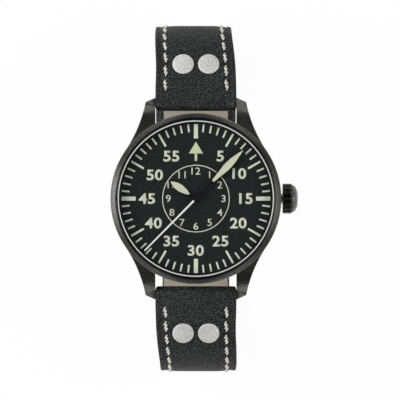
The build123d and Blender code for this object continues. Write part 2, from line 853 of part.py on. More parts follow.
finish(winding_pinions, "winding_pinions")

# Mainplate

plate_arbors = [
    (third_axis, arbor_diameter),
    (escape_axis, fine_arbor_diameter),
    (fork_axis, fine_arbor_diameter),
    (balance_axis, fine_arbor_diameter),
    (barrel_axis, barrel_arbor_diameter),
]
barrel_pillars = [polar(pillar_reach, 25), polar(pillar_reach, 110), polar(pillar_reach, -25)]
train_pillars = [polar(pillar_reach, 190), polar(pillar_reach, 150)]
inner_pillar = polar(inner_pillar_reach, 315)
cock_pillar = polar(pillar_reach, 285)
screw_places = barrel_pillars + train_pillars + [cock_pillar]
hour_wheel_tip = motion_module * (hour_wheel_teeth / 2 + addendum_share)
minute_wheel_tip = motion_module * (minute_wheel_teeth / 2 + addendum_share)

with BuildPart() as mainplate:
    with BuildSketch(Plane.XY.offset(mainplate_z)):
        Circle(movement_diameter / 2)
        small_round(centre_arbor_diameter / 2 + running_clearance, mode=Mode.SUBTRACT)
    extrude(amount=mainplate_thickness)
    with BuildSketch(Plane.XY.offset(back_z + motion_floor_height)):
        Circle(hour_wheel_tip + motion_gap)
        with Locations(motion_axis):
            Circle(minute_wheel_tip + motion_gap)
    extrude(amount=mainplate_thickness, mode=Mode.SUBTRACT)
    with BuildSketch(Plane.XY.offset(back_z + motion_floor_height - arbor_hole_depth)):
        with Locations(motion_axis):
            small_round(arbor_diameter / 2 + running_clearance)
    extrude(amount=mainplate_thickness, mode=Mode.SUBTRACT)
    with BuildSketch(Plane.XY.offset(mainplate_z)):
        for axis_place, diameter in plate_arbors:
            with Locations(axis_place):
                small_round(diameter / 2 + running_clearance)
        with Locations(*screw_places):
            small_round(screw_diameter / 2)
    extrude(amount=arbor_hole_depth + running_clearance, mode=Mode.SUBTRACT)
    with BuildSketch(Plane.XY.offset(dial_seat_z)):
        with Locations(*dial_feet):
            small_round(dial_foot_diameter / 2 + seat_clearance)
    extrude(amount=-dial_foot_length - seat_clearance, mode=Mode.SUBTRACT)
    with BuildSketch(Plane.XY.offset(mainplate_z)):
        with Locations(((winding_slot_start_x + stem_block_inner_x) / 2, 0)):
            Rectangle(stem_block_inner_x - winding_slot_start_x, winding_slot_width)
    extrude(amount=winding_slot_height, mode=Mode.SUBTRACT)
    with BuildSketch(Plane.XY.offset(mainplate_z)):
        with Locations(((stem_block_inner_x + stem_block_outer_x) / 2, 0)):
            Rectangle(stem_block_outer_x - stem_block_inner_x, stem_block_width)
    extrude(amount=-stem_block_height)
    with BuildSketch(Plane.YZ.offset(winding_slot_start_x)):
        with Locations((0, crown_z)):
            small_round(stem_diameter / 2 + running_clearance)
    extrude(amount=movement_diameter, mode=Mode.SUBTRACT)
finish(mainplate, "mainplate")

# Bridges and the balance cock, each with its pillars down to the mainplate


def train_outline(grow):
    """The train bridge's outline: the hull of its pillars and pivots, grown by a gap."""
    with Locations(*train_pillars):
        Circle(pillar_diameter / 2 + pillar_margin + grow)
    with Locations((0, 0), escape_axis, inner_pillar):
        Circle(jewel_diameter / 2 + pivot_margin + grow)
    make_hull()


with BuildPart() as train_bridge:
    with BuildSketch(Plane.XY.offset(bridge_z)):
        train_outline(0)
        with Locations((0, 0), third_axis, escape_axis):
            small_round(jewel_diameter / 2, mode=Mode.SUBTRACT)
    extrude(amount=bridge_thickness)
    with BuildSketch(Plane.XY.offset(bridge_top_z)):
        with Locations(*train_pillars):
            small_round(pillar_diameter / 2)
        with Locations(inner_pillar):
            small_round(inner_pillar_diameter / 2)
    extrude(amount=pivot_height)
    with BuildSketch(Plane.XY.offset(bridge_z)):
        with Locations(*train_pillars):
            small_round(screw_diameter / 2)
    extrude(amount=mainplate_z - bridge_z, mode=Mode.SUBTRACT)
    with BuildSketch(Plane.XY.offset(bridge_z)):
        with Locations(*train_pillars):
            small_round(screw_head_diameter / 2 + seat_clearance)
    extrude(amount=screw_head_height, mode=Mode.SUBTRACT)
finish(train_bridge, "train_bridge")

click_axis = polar(click_reach, click_turn, barrel_axis)
with BuildPart() as barrel_bridge:
    with BuildSketch(Plane.XY.offset(bridge_z)):
        with Locations(*barrel_pillars):
            Circle(pillar_diameter / 2 + pillar_margin)
        with Locations(click_axis):
            Circle(click_diameter / 2)
        make_hull()
    extrude(amount=bridge_thickness)
    with BuildSketch(Plane.XY.offset(bridge_z)):
        train_outline(bridge_gap)
    extrude(amount=bridge_thickness, mode=Mode.SUBTRACT)
    with BuildSketch(Plane.XY.offset(bridge_top_z)):
        with Locations(*barrel_pillars):
            small_round(pillar_diameter / 2)
    extrude(amount=pivot_height)
    with BuildSketch(Plane.XY.offset(bridge_top_z)):
        with Locations(click_axis):
            small_round(click_pin_diameter / 2)
        with Locations(crown_wheel_axis):
            small_round(crown_wheel_pin_diameter / 2)
    extrude(amount=back_z + ratchet_height + winding_thickness + winding_pin_rise - bridge_top_z)
    with BuildSketch(Plane.XY.offset(bridge_z)):
        with Locations(*barrel_pillars):
            small_round(screw_diameter / 2)
    extrude(amount=mainplate_z - bridge_z, mode=Mode.SUBTRACT)
    with BuildSketch(Plane.XY.offset(bridge_z)):
        with Locations(*barrel_pillars):
            small_round(screw_head_diameter / 2 + seat_clearance)
    extrude(amount=screw_head_height, mode=Mode.SUBTRACT)
    with BuildSketch(Plane.XY.offset(bridge_z)):
        with Locations(barrel_axis):
            small_round(barrel_arbor_diameter / 2 + running_clearance)
    extrude(amount=bridge_thickness, mode=Mode.SUBTRACT)
finish(barrel_bridge, "barrel_bridge")

stud_place = polar(hairspring_outer_radius + stud_diameter / 2 + seat_clearance, stud_turn, balance_axis)
with BuildPart() as balance_cock:
    with BuildSketch(Plane.XY.offset(bridge_z)):
        with Locations(cock_pillar):
            Circle(pillar_diameter / 2 + pillar_margin)
        with Locations(balance_axis):
            Circle(cock_nose_diameter / 2)
        with Locations(stud_place):
            Circle(stud_diameter)
        make_hull()
        with Locations(balance_axis):
            small_round(jewel_diameter / 2, mode=Mode.SUBTRACT)
    extrude(amount=bridge_thickness)
    with BuildSketch(Plane.XY.offset(bridge_top_z)):
        with Locations(cock_pillar):
            small_round(pillar_diameter / 2)
    extrude(amount=pivot_height)
    with BuildSketch(Plane.XY.offset(bridge_top_z)):
        with Locations(stud_place):
            small_round(stud_diameter / 2)
    extrude(amount=back_z + hairspring_height + hairspring_strip_height - bridge_top_z)
    with BuildSketch(Plane.XY.offset(bridge_z)):
        with Locations(cock_pillar):
            small_round(screw_diameter / 2)
    extrude(amount=mainplate_z - bridge_z, mode=Mode.SUBTRACT)
    with BuildSketch(Plane.XY.offset(bridge_z)):
        with Locations(cock_pillar):
            small_round(screw_head_diameter / 2 + seat_clearance)
    extrude(amount=screw_head_height, mode=Mode.SUBTRACT)
finish(balance_cock, "balance_cock")

with BuildPart() as bridge_screws:
    with BuildSketch(Plane.XY.offset(bridge_z)):
        with Locations(*screw_places):
            small_round(screw_head_diameter / 2)
    extrude(amount=screw_head_height)
    with BuildSketch(Plane.XY.offset(bridge_z + screw_head_height)):
        with Locations(*screw_places):
            small_round(screw_diameter / 2)
    extrude(amount=mainplate_z - bridge_z - screw_head_height + arbor_hole_depth)
finish(bridge_screws, "bridge_screws")

jewel_arbors = [
    ((0, 0), seconds_arbor_diameter),
    (third_axis, arbor_diameter),
    (escape_axis, fine_arbor_diameter),
    (balance_axis, fine_arbor_diameter),
]
jewel_z = bridge_top_z - jewel_thickness
with BuildPart() as jewels:
    with BuildSketch(Plane.XY.offset(jewel_z)):
        for axis_place, diameter in jewel_arbors:
            with Locations(axis_place):
                small_round(jewel_diameter / 2)
                small_round(diameter / 2 + running_clearance, mode=Mode.SUBTRACT)
    extrude(amount=jewel_thickness)
finish(jewels, "jewels")

# Going train, from the barrel to the balance

barrel_turn = barrel_angle + 180
centre_pinion_turn = meshing_turn(barrel_turn, barrel_teeth, barrel_angle + 180, centre_pinion_teeth)
centre_wheel_turn = third_angle
third_pinion_turn = meshing_turn(centre_wheel_turn, centre_wheel_teeth, third_angle, third_pinion_teeth)
third_wheel_turn = third_angle + 180
fourth_pinion_turn = meshing_turn(third_wheel_turn, third_wheel_teeth, third_angle + 180, fourth_pinion_teeth)
fourth_wheel_turn = escape_angle
escape_pinion_turn = meshing_turn(fourth_wheel_turn, fourth_wheel_teeth, escape_angle, escape_pinion_teeth)


def toothed(place, height, thickness, teeth, module, turn):
    """Adds a toothed wheel to the piece being built."""
    with BuildSketch(Plane.XY.offset(back_z + height)) as outline:
        with BuildLine():
            Polyline(*wheel_points(teeth, module, turn, place), close=True)
        make_face()
    extrude(outline.sketch, amount=thickness)


def arbor(place, diameter, bottom_z, top_z):
    """Adds an upright arbor to the piece being built."""
    with BuildSketch(Plane.XY.offset(bottom_z)) as outline:
        with Locations(place):
            Circle(diameter / 2)
    extrude(outline.sketch, amount=top_z - bottom_z)


plate_pivot_z = mainplate_z + arbor_hole_depth
with BuildPart() as barrel:
    toothed(
        barrel_axis, barrel_tooth_height, barrel_tooth_thickness,
        barrel_teeth, barrel_module, barrel_turn,
    )
    drum_z = back_z + barrel_height
    arbor(barrel_axis, barrel_drum_diameter, drum_z, drum_z + barrel_thickness)
    with BuildSketch(Plane.XY.offset(back_z + barrel_height)):
        with Locations(barrel_axis):
            small_round(barrel_arbor_diameter / 2 + running_clearance)
    extrude(amount=barrel_thickness, mode=Mode.SUBTRACT)
finish(barrel, "barrel")

with BuildPart() as barrel_arbor:
    arbor(barrel_axis, barrel_arbor_diameter, bridge_z + seat_clearance, plate_pivot_z)
finish(barrel_arbor, "barrel_arbor")

with BuildPart() as centre_wheel:
    toothed(
        (0, 0), centre_pinion_height, centre_pinion_thickness,
        centre_pinion_teeth, barrel_module, centre_pinion_turn,
    )
    toothed((0, 0), centre_wheel_height, wheel_thickness, centre_wheel_teeth, third_module, centre_wheel_turn)
    arbor((0, 0), centre_arbor_diameter, back_z + centre_pinion_height, back_z + minute_hand_height)
    with BuildSketch(Plane.XY.offset(back_z + centre_pinion_height)):
        small_round(centre_bore_diameter / 2)
    extrude(amount=minute_hand_height, mode=Mode.SUBTRACT)
finish(centre_wheel, "centre_wheel")

with BuildPart() as third_wheel:
    toothed(
        third_axis, third_wheel_height, wheel_thickness,
        third_wheel_teeth, fourth_module, third_wheel_turn,
    )
    toothed(
        third_axis, third_pinion_height, pinion_thickness,
        third_pinion_teeth, third_module, third_pinion_turn,
    )
    arbor(third_axis, arbor_diameter, jewel_z, plate_pivot_z)
finish(third_wheel, "third_wheel")

with BuildPart() as fourth_wheel:
    toothed(
        (0, 0), fourth_wheel_height, wheel_thickness,
        fourth_wheel_teeth, escape_module, fourth_wheel_turn,
    )
    toothed(
        (0, 0), fourth_pinion_height, pinion_thickness,
        fourth_pinion_teeth, fourth_module, fourth_pinion_turn,
    )
    arbor((0, 0), seconds_arbor_diameter, jewel_z, back_z + seconds_hand_height)
finish(fourth_wheel, "fourth_wheel")

with BuildPart() as escape_wheel:
    toothed(
        escape_axis, escape_pinion_height, pinion_thickness,
        escape_pinion_teeth, escape_module, escape_pinion_turn,
    )
    with BuildSketch(Plane.XY.offset(back_z + escape_wheel_height)):
        with BuildLine():
            tip_radius = escape_wheel_diameter / 2
            points = []
            for tooth in range(escape_wheel_teeth):
                middle = tooth * 360 / escape_wheel_teeth
                points.append(polar(tip_radius - escape_tooth_depth, middle, escape_axis))
                points.append(polar(tip_radius, middle + escape_tooth_rake, escape_axis))
                points.append(polar(tip_radius, middle + escape_tooth_rake + escape_tooth_back, escape_axis))
                points.append(polar(tip_radius - escape_tooth_depth, middle + escape_tooth_end, escape_axis))
            Polyline(*points, close=True)
        make_face()
    extrude(amount=wheel_thickness)
    arbor(escape_axis, fine_arbor_diameter, jewel_z, plate_pivot_z)
finish(escape_wheel, "escape_wheel")

pallet_inner = polar(escape_wheel_diameter / 2 + pallet_clearance, pallet_half_angle, (-fork_distance, 0))
pallet_outer_reach = escape_wheel_diameter / 2 + pallet_clearance + pallet_depth
pallet_outer = polar(pallet_outer_reach, pallet_half_angle, (-fork_distance, 0))
with BuildPart() as pallet_fork:
    lever_direction = (cos(radians(lever_turn)), sin(radians(lever_turn)), 0)
    lever_middle = (*fork_axis, back_z + escape_wheel_height)
    lever_plane = Plane(origin=lever_middle, x_dir=lever_direction, z_dir=(0, 0, 1))
    with BuildSketch(lever_plane):
        with BuildLine():
            upper = [
                (lever_reach, lever_horn_width / 2),
                (lever_reach - lever_horn_length, lever_width / 2),
                (fork_hub_diameter / 2, lever_width / 2),
                pallet_outer,
                pallet_inner,
                (-fork_hub_diameter / 4, fork_hub_diameter / 2),
            ]
            lower = [(x, -y) for x, y in reversed(upper)]
            Polyline(*upper, *lower, close=True)
        make_face()
        small_round(fork_hub_diameter / 2)
    extrude(amount=wheel_thickness)
    arbor(fork_axis, fine_arbor_diameter, back_z + escape_wheel_height, plate_pivot_z)
finish(pallet_fork, "pallet_fork")

roller_z = back_z + roller_height
with BuildPart() as balance_wheel:
    with BuildSketch(Plane.XY.offset(back_z + balance_height)):
        with Locations(balance_axis):
            Circle(balance_diameter / 2)
            Circle(balance_diameter / 2 - balance_rim_width, mode=Mode.SUBTRACT)
            small_round(balance_hub_diameter / 2)
            Rectangle(balance_diameter - balance_rim_width, balance_arm_width)
    extrude(amount=balance_rim_height)
    arbor(balance_axis, fine_arbor_diameter, jewel_z, plate_pivot_z)
    arbor(balance_axis, roller_diameter, roller_z, roller_z + wheel_thickness)
    roller_pin_place = polar(roller_pin_reach, lever_turn + 180, balance_axis)
    arbor(roller_pin_place, roller_pin_diameter, back_z + escape_wheel_height, roller_z)
finish(balance_wheel, "balance_wheel")

with BuildPart() as hairspring:
    with BuildSketch(Plane.XY.offset(back_z + hairspring_height)):
        with BuildLine():
            outer_side = []
            inner_side = []
            steps = hairspring_turns * hairspring_steps
            growth = hairspring_outer_radius - hairspring_inner_radius
            for step in range(steps + 1):
                reach = hairspring_inner_radius + growth * step / steps
                angle = stud_turn + step * 360 / hairspring_steps
                outer_side.append(polar(reach + hairspring_strip / 2, angle, balance_axis))
                inner_side.append(polar(reach - hairspring_strip / 2, angle, balance_axis))
            Polyline(*outer_side, *reversed(inner_side), close=True)
        make_face()
    extrude(amount=hairspring_strip_height)
finish(hairspring, "hairspring")

# Winding wheels and the click

crown_wheel_turn = 180 / crown_wheel_teeth
ratchet_turn = meshing_turn(crown_wheel_turn, crown_wheel_teeth, winding_turn, ratchet_teeth)
with BuildPart() as ratchet_wheel:
    toothed(barrel_axis, ratchet_height, winding_thickness, ratchet_teeth, winding_module, ratchet_turn)
    with BuildSketch(Plane.XY.offset(back_z + ratchet_height)):
        with Locations(barrel_axis):
            small_round(barrel_arbor_diameter / 2)
    extrude(amount=winding_thickness, mode=Mode.SUBTRACT)
finish(ratchet_wheel, "ratchet_wheel")

with BuildPart() as crown_wheel:
    toothed(
        crown_wheel_axis, ratchet_height, winding_thickness,
        crown_wheel_teeth, winding_module, crown_wheel_turn,
    )
    with BuildSketch(Plane.XY.offset(back_z + ratchet_height)):
        with Locations(crown_wheel_axis):
            Circle(crown_wheel_pin_diameter / 2 + running_clearance)
    extrude(amount=winding_thickness, mode=Mode.SUBTRACT)
finish(crown_wheel, "crown_wheel")

ratchet_tip = winding_module * (ratchet_teeth / 2 + addendum_share)
click_tip = polar(ratchet_tip + wheel_gap + click_tip_diameter / 2, click_tip_turn, barrel_axis)
with BuildPart() as click:
    with BuildSketch(Plane.XY.offset(back_z + ratchet_height)):
        with Locations(click_axis):
            Circle(click_diameter / 2)
        with Locations(click_tip):
            Circle(click_tip_diameter / 2)
        make_hull()
        with Locations(click_axis):
            small_round(click_pin_diameter / 2 + running_clearance, mode=Mode.SUBTRACT)
    extrude(amount=winding_thickness)
finish(click, "click")

# Motion work between the cannon pinion and the hour wheel

cannon_turn = motion_angle
minute_wheel_turn = meshing_turn(cannon_turn, cannon_teeth, motion_angle, minute_wheel_teeth)
minute_pinion_turn = motion_angle + 180
hour_wheel_turn = meshing_turn(minute_pinion_turn, minute_pinion_teeth, motion_angle + 180, hour_wheel_teeth)
with BuildPart() as cannon_pinion:
    toothed((0, 0), cannon_height, cannon_tooth_thickness, cannon_teeth, motion_module, cannon_turn)
    arbor((0, 0), cannon_diameter, back_z + cannon_height, back_z + minute_hand_height + hand_thickness)
    with BuildSketch(Plane.XY.offset(back_z + cannon_height)):
        small_round(cannon_bore_diameter / 2)
    extrude(amount=minute_hand_height, mode=Mode.SUBTRACT)
finish(cannon_pinion, "cannon_pinion")

with BuildPart() as minute_wheel:
    toothed(
        motion_axis, minute_wheel_height, wheel_thickness,
        minute_wheel_teeth, motion_module, minute_wheel_turn,
    )
    toothed(
        motion_axis, minute_pinion_height, pinion_thickness,
        minute_pinion_teeth, motion_module, minute_pinion_turn,
    )
    arbor(
        motion_axis,
        arbor_diameter,
        back_z + motion_floor_height - arbor_hole_depth + running_clearance,
        back_z + minute_pinion_height,
    )
finish(minute_wheel, "minute_wheel")

with BuildPart() as hour_wheel:
    toothed((0, 0), hour_wheel_height, wheel_thickness, hour_wheel_teeth, motion_module, hour_wheel_turn)
    arbor((0, 0), hour_pipe_diameter, back_z + hour_wheel_height, back_z + hour_hand_height + hand_thickness)
    with BuildSketch(Plane.XY.offset(back_z + hour_wheel_height)):
        small_round(hour_pipe_bore_diameter / 2)
    extrude(amount=minute_hand_height, mode=Mode.SUBTRACT)
finish(hour_wheel, "hour_wheel")

# Rotor and the post that it runs on

post_bottom_z = back_z + rotor_height - running_clearance
with BuildPart() as rotor_post:
    arbor((0, 0), post_diameter, post_bottom_z, bridge_z)
    arbor((0, 0), post_head_diameter, post_bottom_z - post_head_height, post_bottom_z)
finish(rotor_post, "rotor_post")

rotor_heading = (*polar(1, rotor_rest_angle), 0)
rotor_plane = Plane(origin=(0, 0, back_z + rotor_height), x_dir=rotor_heading, z_dir=(0, 0, 1))
with BuildPart() as rotor:
    with BuildSketch(rotor_plane):
        Circle(rotor_diameter / 2)
        with Locations((-rotor_diameter / 2, 0)):
            Rectangle(rotor_diameter, rotor_diameter, mode=Mode.SUBTRACT)
        Circle(rotor_hub_diameter / 2)
    extrude(amount=rotor_thickness)
    with BuildSketch(rotor_plane):
        Circle(rotor_diameter / 2)
        Circle(rotor_diameter / 2 - rotor_rim_width, mode=Mode.SUBTRACT)
        with Locations((-rotor_diameter / 2, 0)):
            Rectangle(rotor_diameter, rotor_diameter, mode=Mode.SUBTRACT)
    extrude(amount=rotor_rim_height)
    with BuildSketch(Plane.XY.offset(back_z + rotor_height)):
        Circle(post_diameter / 2 + running_clearance)
    extrude(amount=rotor_thickness, mode=Mode.SUBTRACT)
finish(rotor, "rotor")

# Hands


def hand_plane(height, angle):
    """A plane at a hand's height with its x along the hand."""
    return Plane(origin=(0, 0, back_z + height), x_dir=(*polar(1, clockwise(angle)), 0), z_dir=(0, 0, 1))


def leaf_sides(length, width, places, inset):
    """One side of a leaf hand's outline, from its neck to its point, drawn in by an inset."""
    shares = zip(places, leaf_width_shares)
    return [(length * place, max(0, width / 2 * share - inset)) for place, share in shares]


def leaf_hand(height, angle, length, width, places, bore):
    """A leaf hand: a rim with an open middle, a neck and a boss on its pipe."""
    with BuildSketch(hand_plane(height, angle)) as outline:
        with BuildLine():
            side = leaf_sides(length, width, places, 0)
            mirrored = [(x, -y) for x, y in reversed(side[:-1])]
            Polyline((0, side[0][1]), *side, *mirrored, (0, -side[0][1]), close=True)
        make_face()
        Circle(hub_diameter / 2)
        with BuildLine():
            side = leaf_sides(length, width, places, hand_rim)[1:-1]
            start = (length * places[1] + hand_rim, 0)
            end = (length - hand_point_rim, 0)
            mirrored = [(x, -y) for x, y in reversed(side[1:])]
            Polyline(start, *side[1:], end, *mirrored, close=True)
        make_face(mode=Mode.SUBTRACT)
        Circle(bore / 2, mode=Mode.SUBTRACT)
    extrude(outline.sketch, amount=hand_thickness)


with BuildPart() as hour_hand:
    leaf_hand(
        hour_hand_height, hour_hand_angle, hour_hand_length,
        hour_hand_width, hour_leaf_shares, hour_pipe_diameter,
    )
finish(hour_hand, "hour_hand")

with BuildPart() as minute_hand:
    leaf_hand(
        minute_hand_height, minute_hand_angle, minute_hand_length,
        minute_hand_width, minute_leaf_shares, cannon_diameter,
    )
finish(minute_hand, "minute_hand")

with BuildPart() as seconds_hand:
    with BuildSketch(hand_plane(seconds_hand_height, seconds_hand_angle)):
        with BuildLine():
            Polyline(
                (0, seconds_hand_width / 2),
                (seconds_hand_length, seconds_tip_width / 2),
                (seconds_hand_length, -seconds_tip_width / 2),
                (0, -seconds_hand_width / 2),
                (-seconds_tail_length, -seconds_tail_width / 2),
                (-seconds_tail_length, seconds_tail_width / 2),
                close=True,
            )
        make_face()
        Circle(hub_diameter / 2)
    extrude(amount=hand_thickness)
    seconds_hand_z = back_z + seconds_hand_height
    arbor((0, 0), hub_diameter, seconds_hand_z, seconds_hand_z + hand_thickness + hub_rise)
finish(seconds_hand, "seconds_hand")

# Spring bars between the lugs and at the buckle, with their sprung plungers

tube_half_length = lug_gap / 2 - side_clearance
with BuildPart() as lug_bar_tubes:
    with BuildSketch(Plane.YZ.offset(-tube_half_length)):
        with Locations((bar_y, bar_z), (-bar_y, bar_z)):
            small_round(bar_diameter / 2)
            small_round(plunger_diameter / 2 + running_clearance, mode=Mode.SUBTRACT)
    extrude(amount=2 * tube_half_length)
finish(lug_bar_tubes, "lug_bar_tubes")

buckle_inner_x = strap_buckle_width / 2 + side_clearance
pin_half_length = strap_buckle_width / 2
with BuildPart() as buckle_bar_tube:
    with BuildSketch(Plane.YZ.offset(-pin_half_length)):
        with Locations((pin_y, short_z)):
            small_round(pin_diameter / 2)
            small_round(pin_plunger_diameter / 2 + running_clearance, mode=Mode.SUBTRACT)
    extrude(amount=2 * pin_half_length)
finish(buckle_bar_tube, "buckle_bar_tube")


def plunger(side, seat_x, y, z, diameter):
    """A spring bar's plunger, its outer end in the seat beyond the tube."""
    with BuildSketch(Plane.YZ.offset(side * (seat_x + plunger_reach))) as outline:
        with Locations((y, z)):
            small_round(diameter / 2)
    extrude(outline.sketch, amount=-side * plunger_length)


bars = [
    ("top_plunger", lug_gap / 2, bar_y, bar_z, plunger_diameter),
    ("bottom_plunger", lug_gap / 2, -bar_y, bar_z, plunger_diameter),
    ("buckle_plunger", buckle_inner_x, pin_y, short_z, pin_plunger_diameter),
]
for bar_name, seat_x, y, z, diameter in bars:
    for side, side_name in ((-1, "left"), (1, "right")):
        with BuildPart() as bar_plunger:
            plunger(side, seat_x, y, z, diameter)
        finish(bar_plunger, f"{bar_name}_{side_name}")

# Strap halves: leather outside, lining inside


def strap_layer(side, places, layer):
    """Lofts one layer of a strap half through sections across its route."""
    sections = []
    first_tip = len(places) - len(tip_width_shares)
    for index, (distance, y, z, heading) in enumerate(places):
        thickness = strap_thickness(distance)
        width = strap_width(distance)
        if side < 0 and index > first_tip:
            width *= tip_width_shares[index - first_tip]
        with BuildSketch(strap_plane(side, y, z, heading)) as section:
            if layer == "leather":
                with Locations((0, -lining_thickness / 2)):
                    Rectangle(width, thickness - lining_thickness)
            else:
                with Locations((0, thickness / 2 - lining_thickness / 2)):
                    Rectangle(width - 2 * lining_inset, lining_thickness)
        sections.append(section.sketch)
    loft(sections, ruled=True)


def cut_bore(y, z, diameter, width):
    """Cuts a bore across the strap for a bar."""
    with BuildSketch(Plane.YZ.offset(-width)) as outline:
        with Locations((y, z)):
            small_round(diameter / 2)
    extrude(outline.sketch, amount=2 * width, mode=Mode.SUBTRACT)


loop_middle_y = bar_y + lead_run * cos(radians(lead_angle)) - shoulder_radius * sin(radians(lead_angle))
loop_middle_z = bar_z - lead_drop - shoulder_drop
rivet_thickness = strap_thickness(lead_run + rivet_route_length)
rivet_heading = degrees(asin((rivet_y - loop_middle_y) / (shoulder_radius + rivet_thickness / 2)))
rivet_mid_y = loop_middle_y + shoulder_radius * sin(radians(rivet_heading))
rivet_mid_z = loop_middle_z + shoulder_radius * cos(radians(rivet_heading))


def cut_rivet_holes(side):
    """Cuts a strap half's two rivet holes and the flat seats round them, outside and inside."""
    middle_plane = strap_normal_plane(side, rivet_mid_y, rivet_mid_z, rivet_heading)
    with BuildSketch(middle_plane) as holes:
        with GridLocations(rivet_spacing, 0, 2, 1):
            small_round(rivet_shank_diameter / 2 + seat_clearance)
    extrude(holes.sketch, amount=strap_padded_thickness, both=True, mode=Mode.SUBTRACT)
    with BuildSketch(middle_plane.offset(rivet_thickness / 2 - rivet_sink)) as outer_seats:
        with GridLocations(rivet_spacing, 0, 2, 1):
            Circle(rivet_diameter / 2 + seat_clearance)
    extrude(outer_seats.sketch, amount=strap_padded_thickness, mode=Mode.SUBTRACT)
    with BuildSketch(middle_plane.offset(-rivet_thickness / 2)) as inner_seats:
        with GridLocations(rivet_spacing, 0, 2, 1):
            Circle(rivet_cap_diameter / 2 + seat_clearance)
    extrude(inner_seats.sketch, amount=-strap_padded_thickness, mode=Mode.SUBTRACT)


with BuildPart() as short_leather:
    strap_layer(1, short_places, "leather")
    with BuildSketch(Plane.YZ.offset(-strap_lug_width / 2)):
        with Locations((bar_y, bar_z)):
            Circle(strap_eye_diameter / 2)
    extrude(amount=strap_lug_width)
    with BuildSketch(Plane.YZ.offset(-strap_buckle_width / 2)):
        with Locations((pin_y, short_z)):
            Circle(pin_eye_diameter / 2)
    extrude(amount=strap_buckle_width)
    cut_bore(bar_y, bar_z, bar_diameter + 2 * seat_clearance, strap_lug_width)
    cut_bore(pin_y, short_z, pin_diameter + 2 * seat_clearance, strap_lug_width)
    with BuildSketch(Plane.XY.offset(short_z)):
        with Locations((0, pin_y + tongue_slot_length / 2 - pin_eye_diameter / 2)):
            Rectangle(tongue_slot_width, tongue_slot_length)
    extrude(amount=strap_padded_thickness, both=True, mode=Mode.SUBTRACT)
    with BuildSketch(Plane.XY.offset(short_z + strap_plain_thickness / 2 - lining_thickness)):
        with Locations((0, fixed_keeper_y)):
            Rectangle(strap_lug_width, keeper_width)
    extrude(amount=-keeper_tuck, mode=Mode.SUBTRACT)
    cut_rivet_holes(1)
finish(short_leather, "short_leather")

short_lining_places = [place for place in short_places[1:-1] if place[0] > strap_swell_length]
with BuildPart() as short_lining:
    strap_layer(1, short_lining_places, "lining")
    cut_rivet_holes(1)
finish(short_lining, "short_lining")

tongue_hole_y = pin_y - strap_hole_reach
with BuildPart() as long_leather:
    strap_layer(-1, long_places, "leather")
    with BuildSketch(Plane.YZ.offset(-strap_lug_width / 2)):
        with Locations((-bar_y, bar_z)):
            Circle(strap_eye_diameter / 2)
    extrude(amount=strap_lug_width)
    cut_bore(-bar_y, bar_z, bar_diameter + 2 * seat_clearance, strap_lug_width)
    cut_rivet_holes(-1)
    with BuildSketch(Plane.XY.offset(tail_z)):
        with Locations((0, tongue_hole_y)):
            SlotOverall(strap_hole_length, strap_hole_width, rotation=90)
        with Locations(*[(0, tongue_hole_y + spare_hole_pitch * step) for step in spare_hole_steps]):
            small_round(spare_hole_diameter / 2)
    extrude(amount=strap_padded_thickness, both=True, mode=Mode.SUBTRACT)
finish(long_leather, "long_leather")

long_lining_places = [place for place in long_places[1:] if place[0] > strap_swell_length]
with BuildPart() as long_lining:
    strap_layer(-1, long_lining_places, "lining")
    cut_rivet_holes(-1)
    with BuildSketch(Plane.XY.offset(tail_z)):
        with Locations((0, tongue_hole_y)):
            SlotOverall(strap_hole_length, strap_hole_width, rotation=90)
        with Locations(*[(0, tongue_hole_y + spare_hole_pitch * step) for step in spare_hole_steps]):
            small_round(spare_hole_diameter / 2)
    extrude(amount=strap_padded_thickness, both=True, mode=Mode.SUBTRACT)
finish(long_lining, "long_lining")

# Rivets through both layers, with a domed head outside and a cap inside

with BuildPart() as strap_rivets:
    for side in (1, -1):
        middle_plane = strap_normal_plane(side, rivet_mid_y, rivet_mid_z, rivet_heading)
        head_plane = middle_plane.offset(rivet_thickness / 2 - rivet_sink)
        with BuildSketch(head_plane):
            with GridLocations(rivet_spacing, 0, 2, 1):
                Circle(rivet_diameter / 2)
        extrude(amount=rivet_rim_height)
        with BuildSketch(head_plane.offset(rivet_rim_height)):
            with GridLocations(rivet_spacing, 0, 2, 1):
                Circle(rivet_diameter / 2)
        extrude(amount=rivet_head_height - rivet_rim_height, taper=rivet_dome_taper)
        with BuildSketch(head_plane):
            with GridLocations(rivet_spacing, 0, 2, 1):
                small_round(rivet_shank_diameter / 2)
        extrude(amount=rivet_sink - rivet_thickness)
        with BuildSketch(middle_plane.offset(-rivet_thickness / 2)):
            with GridLocations(rivet_spacing, 0, 2, 1):
                Circle(rivet_cap_diameter / 2)
        extrude(amount=-rivet_cap_height)
finish(strap_rivets, "strap_rivets")

# Keepers round both strap layers

keeper_far_distance = strap_short_length - (fixed_keeper_y + keeper_width / 2 - pin_y)
keeper_inner_width = strap_width(keeper_far_distance) + 2 * side_clearance


def keeper(middle_y, top_z, inner_top_z):
    """A leather band round the strap, from the standing plane to its top."""
    outer_width = keeper_inner_width + 2 * keeper_thickness
    with BuildSketch(Plane.XZ.offset(-middle_y - keeper_width / 2)) as outline:
        with Locations((0, top_z / 2)):
            RectangleRounded(outer_width, top_z, keeper_corner)
        with Locations((0, (inner_top_z + keeper_thickness) / 2)):
            Rectangle(keeper_inner_width, inner_top_z - keeper_thickness, mode=Mode.SUBTRACT)
    extrude(outline.sketch, amount=keeper_width)


tuck_z = short_z + strap_plain_thickness / 2 - lining_thickness
with BuildPart() as fixed_keeper:
    keeper(fixed_keeper_y, tuck_z, tuck_z - keeper_tuck)
finish(fixed_keeper, "fixed_keeper")

free_inner_top_z = short_z + strap_plain_thickness / 2 + keeper_clearance
with BuildPart() as free_keeper:
    keeper(free_keeper_y, free_inner_top_z + keeper_thickness, free_inner_top_z)
finish(free_keeper, "free_keeper")

# Buckle frame and tongue

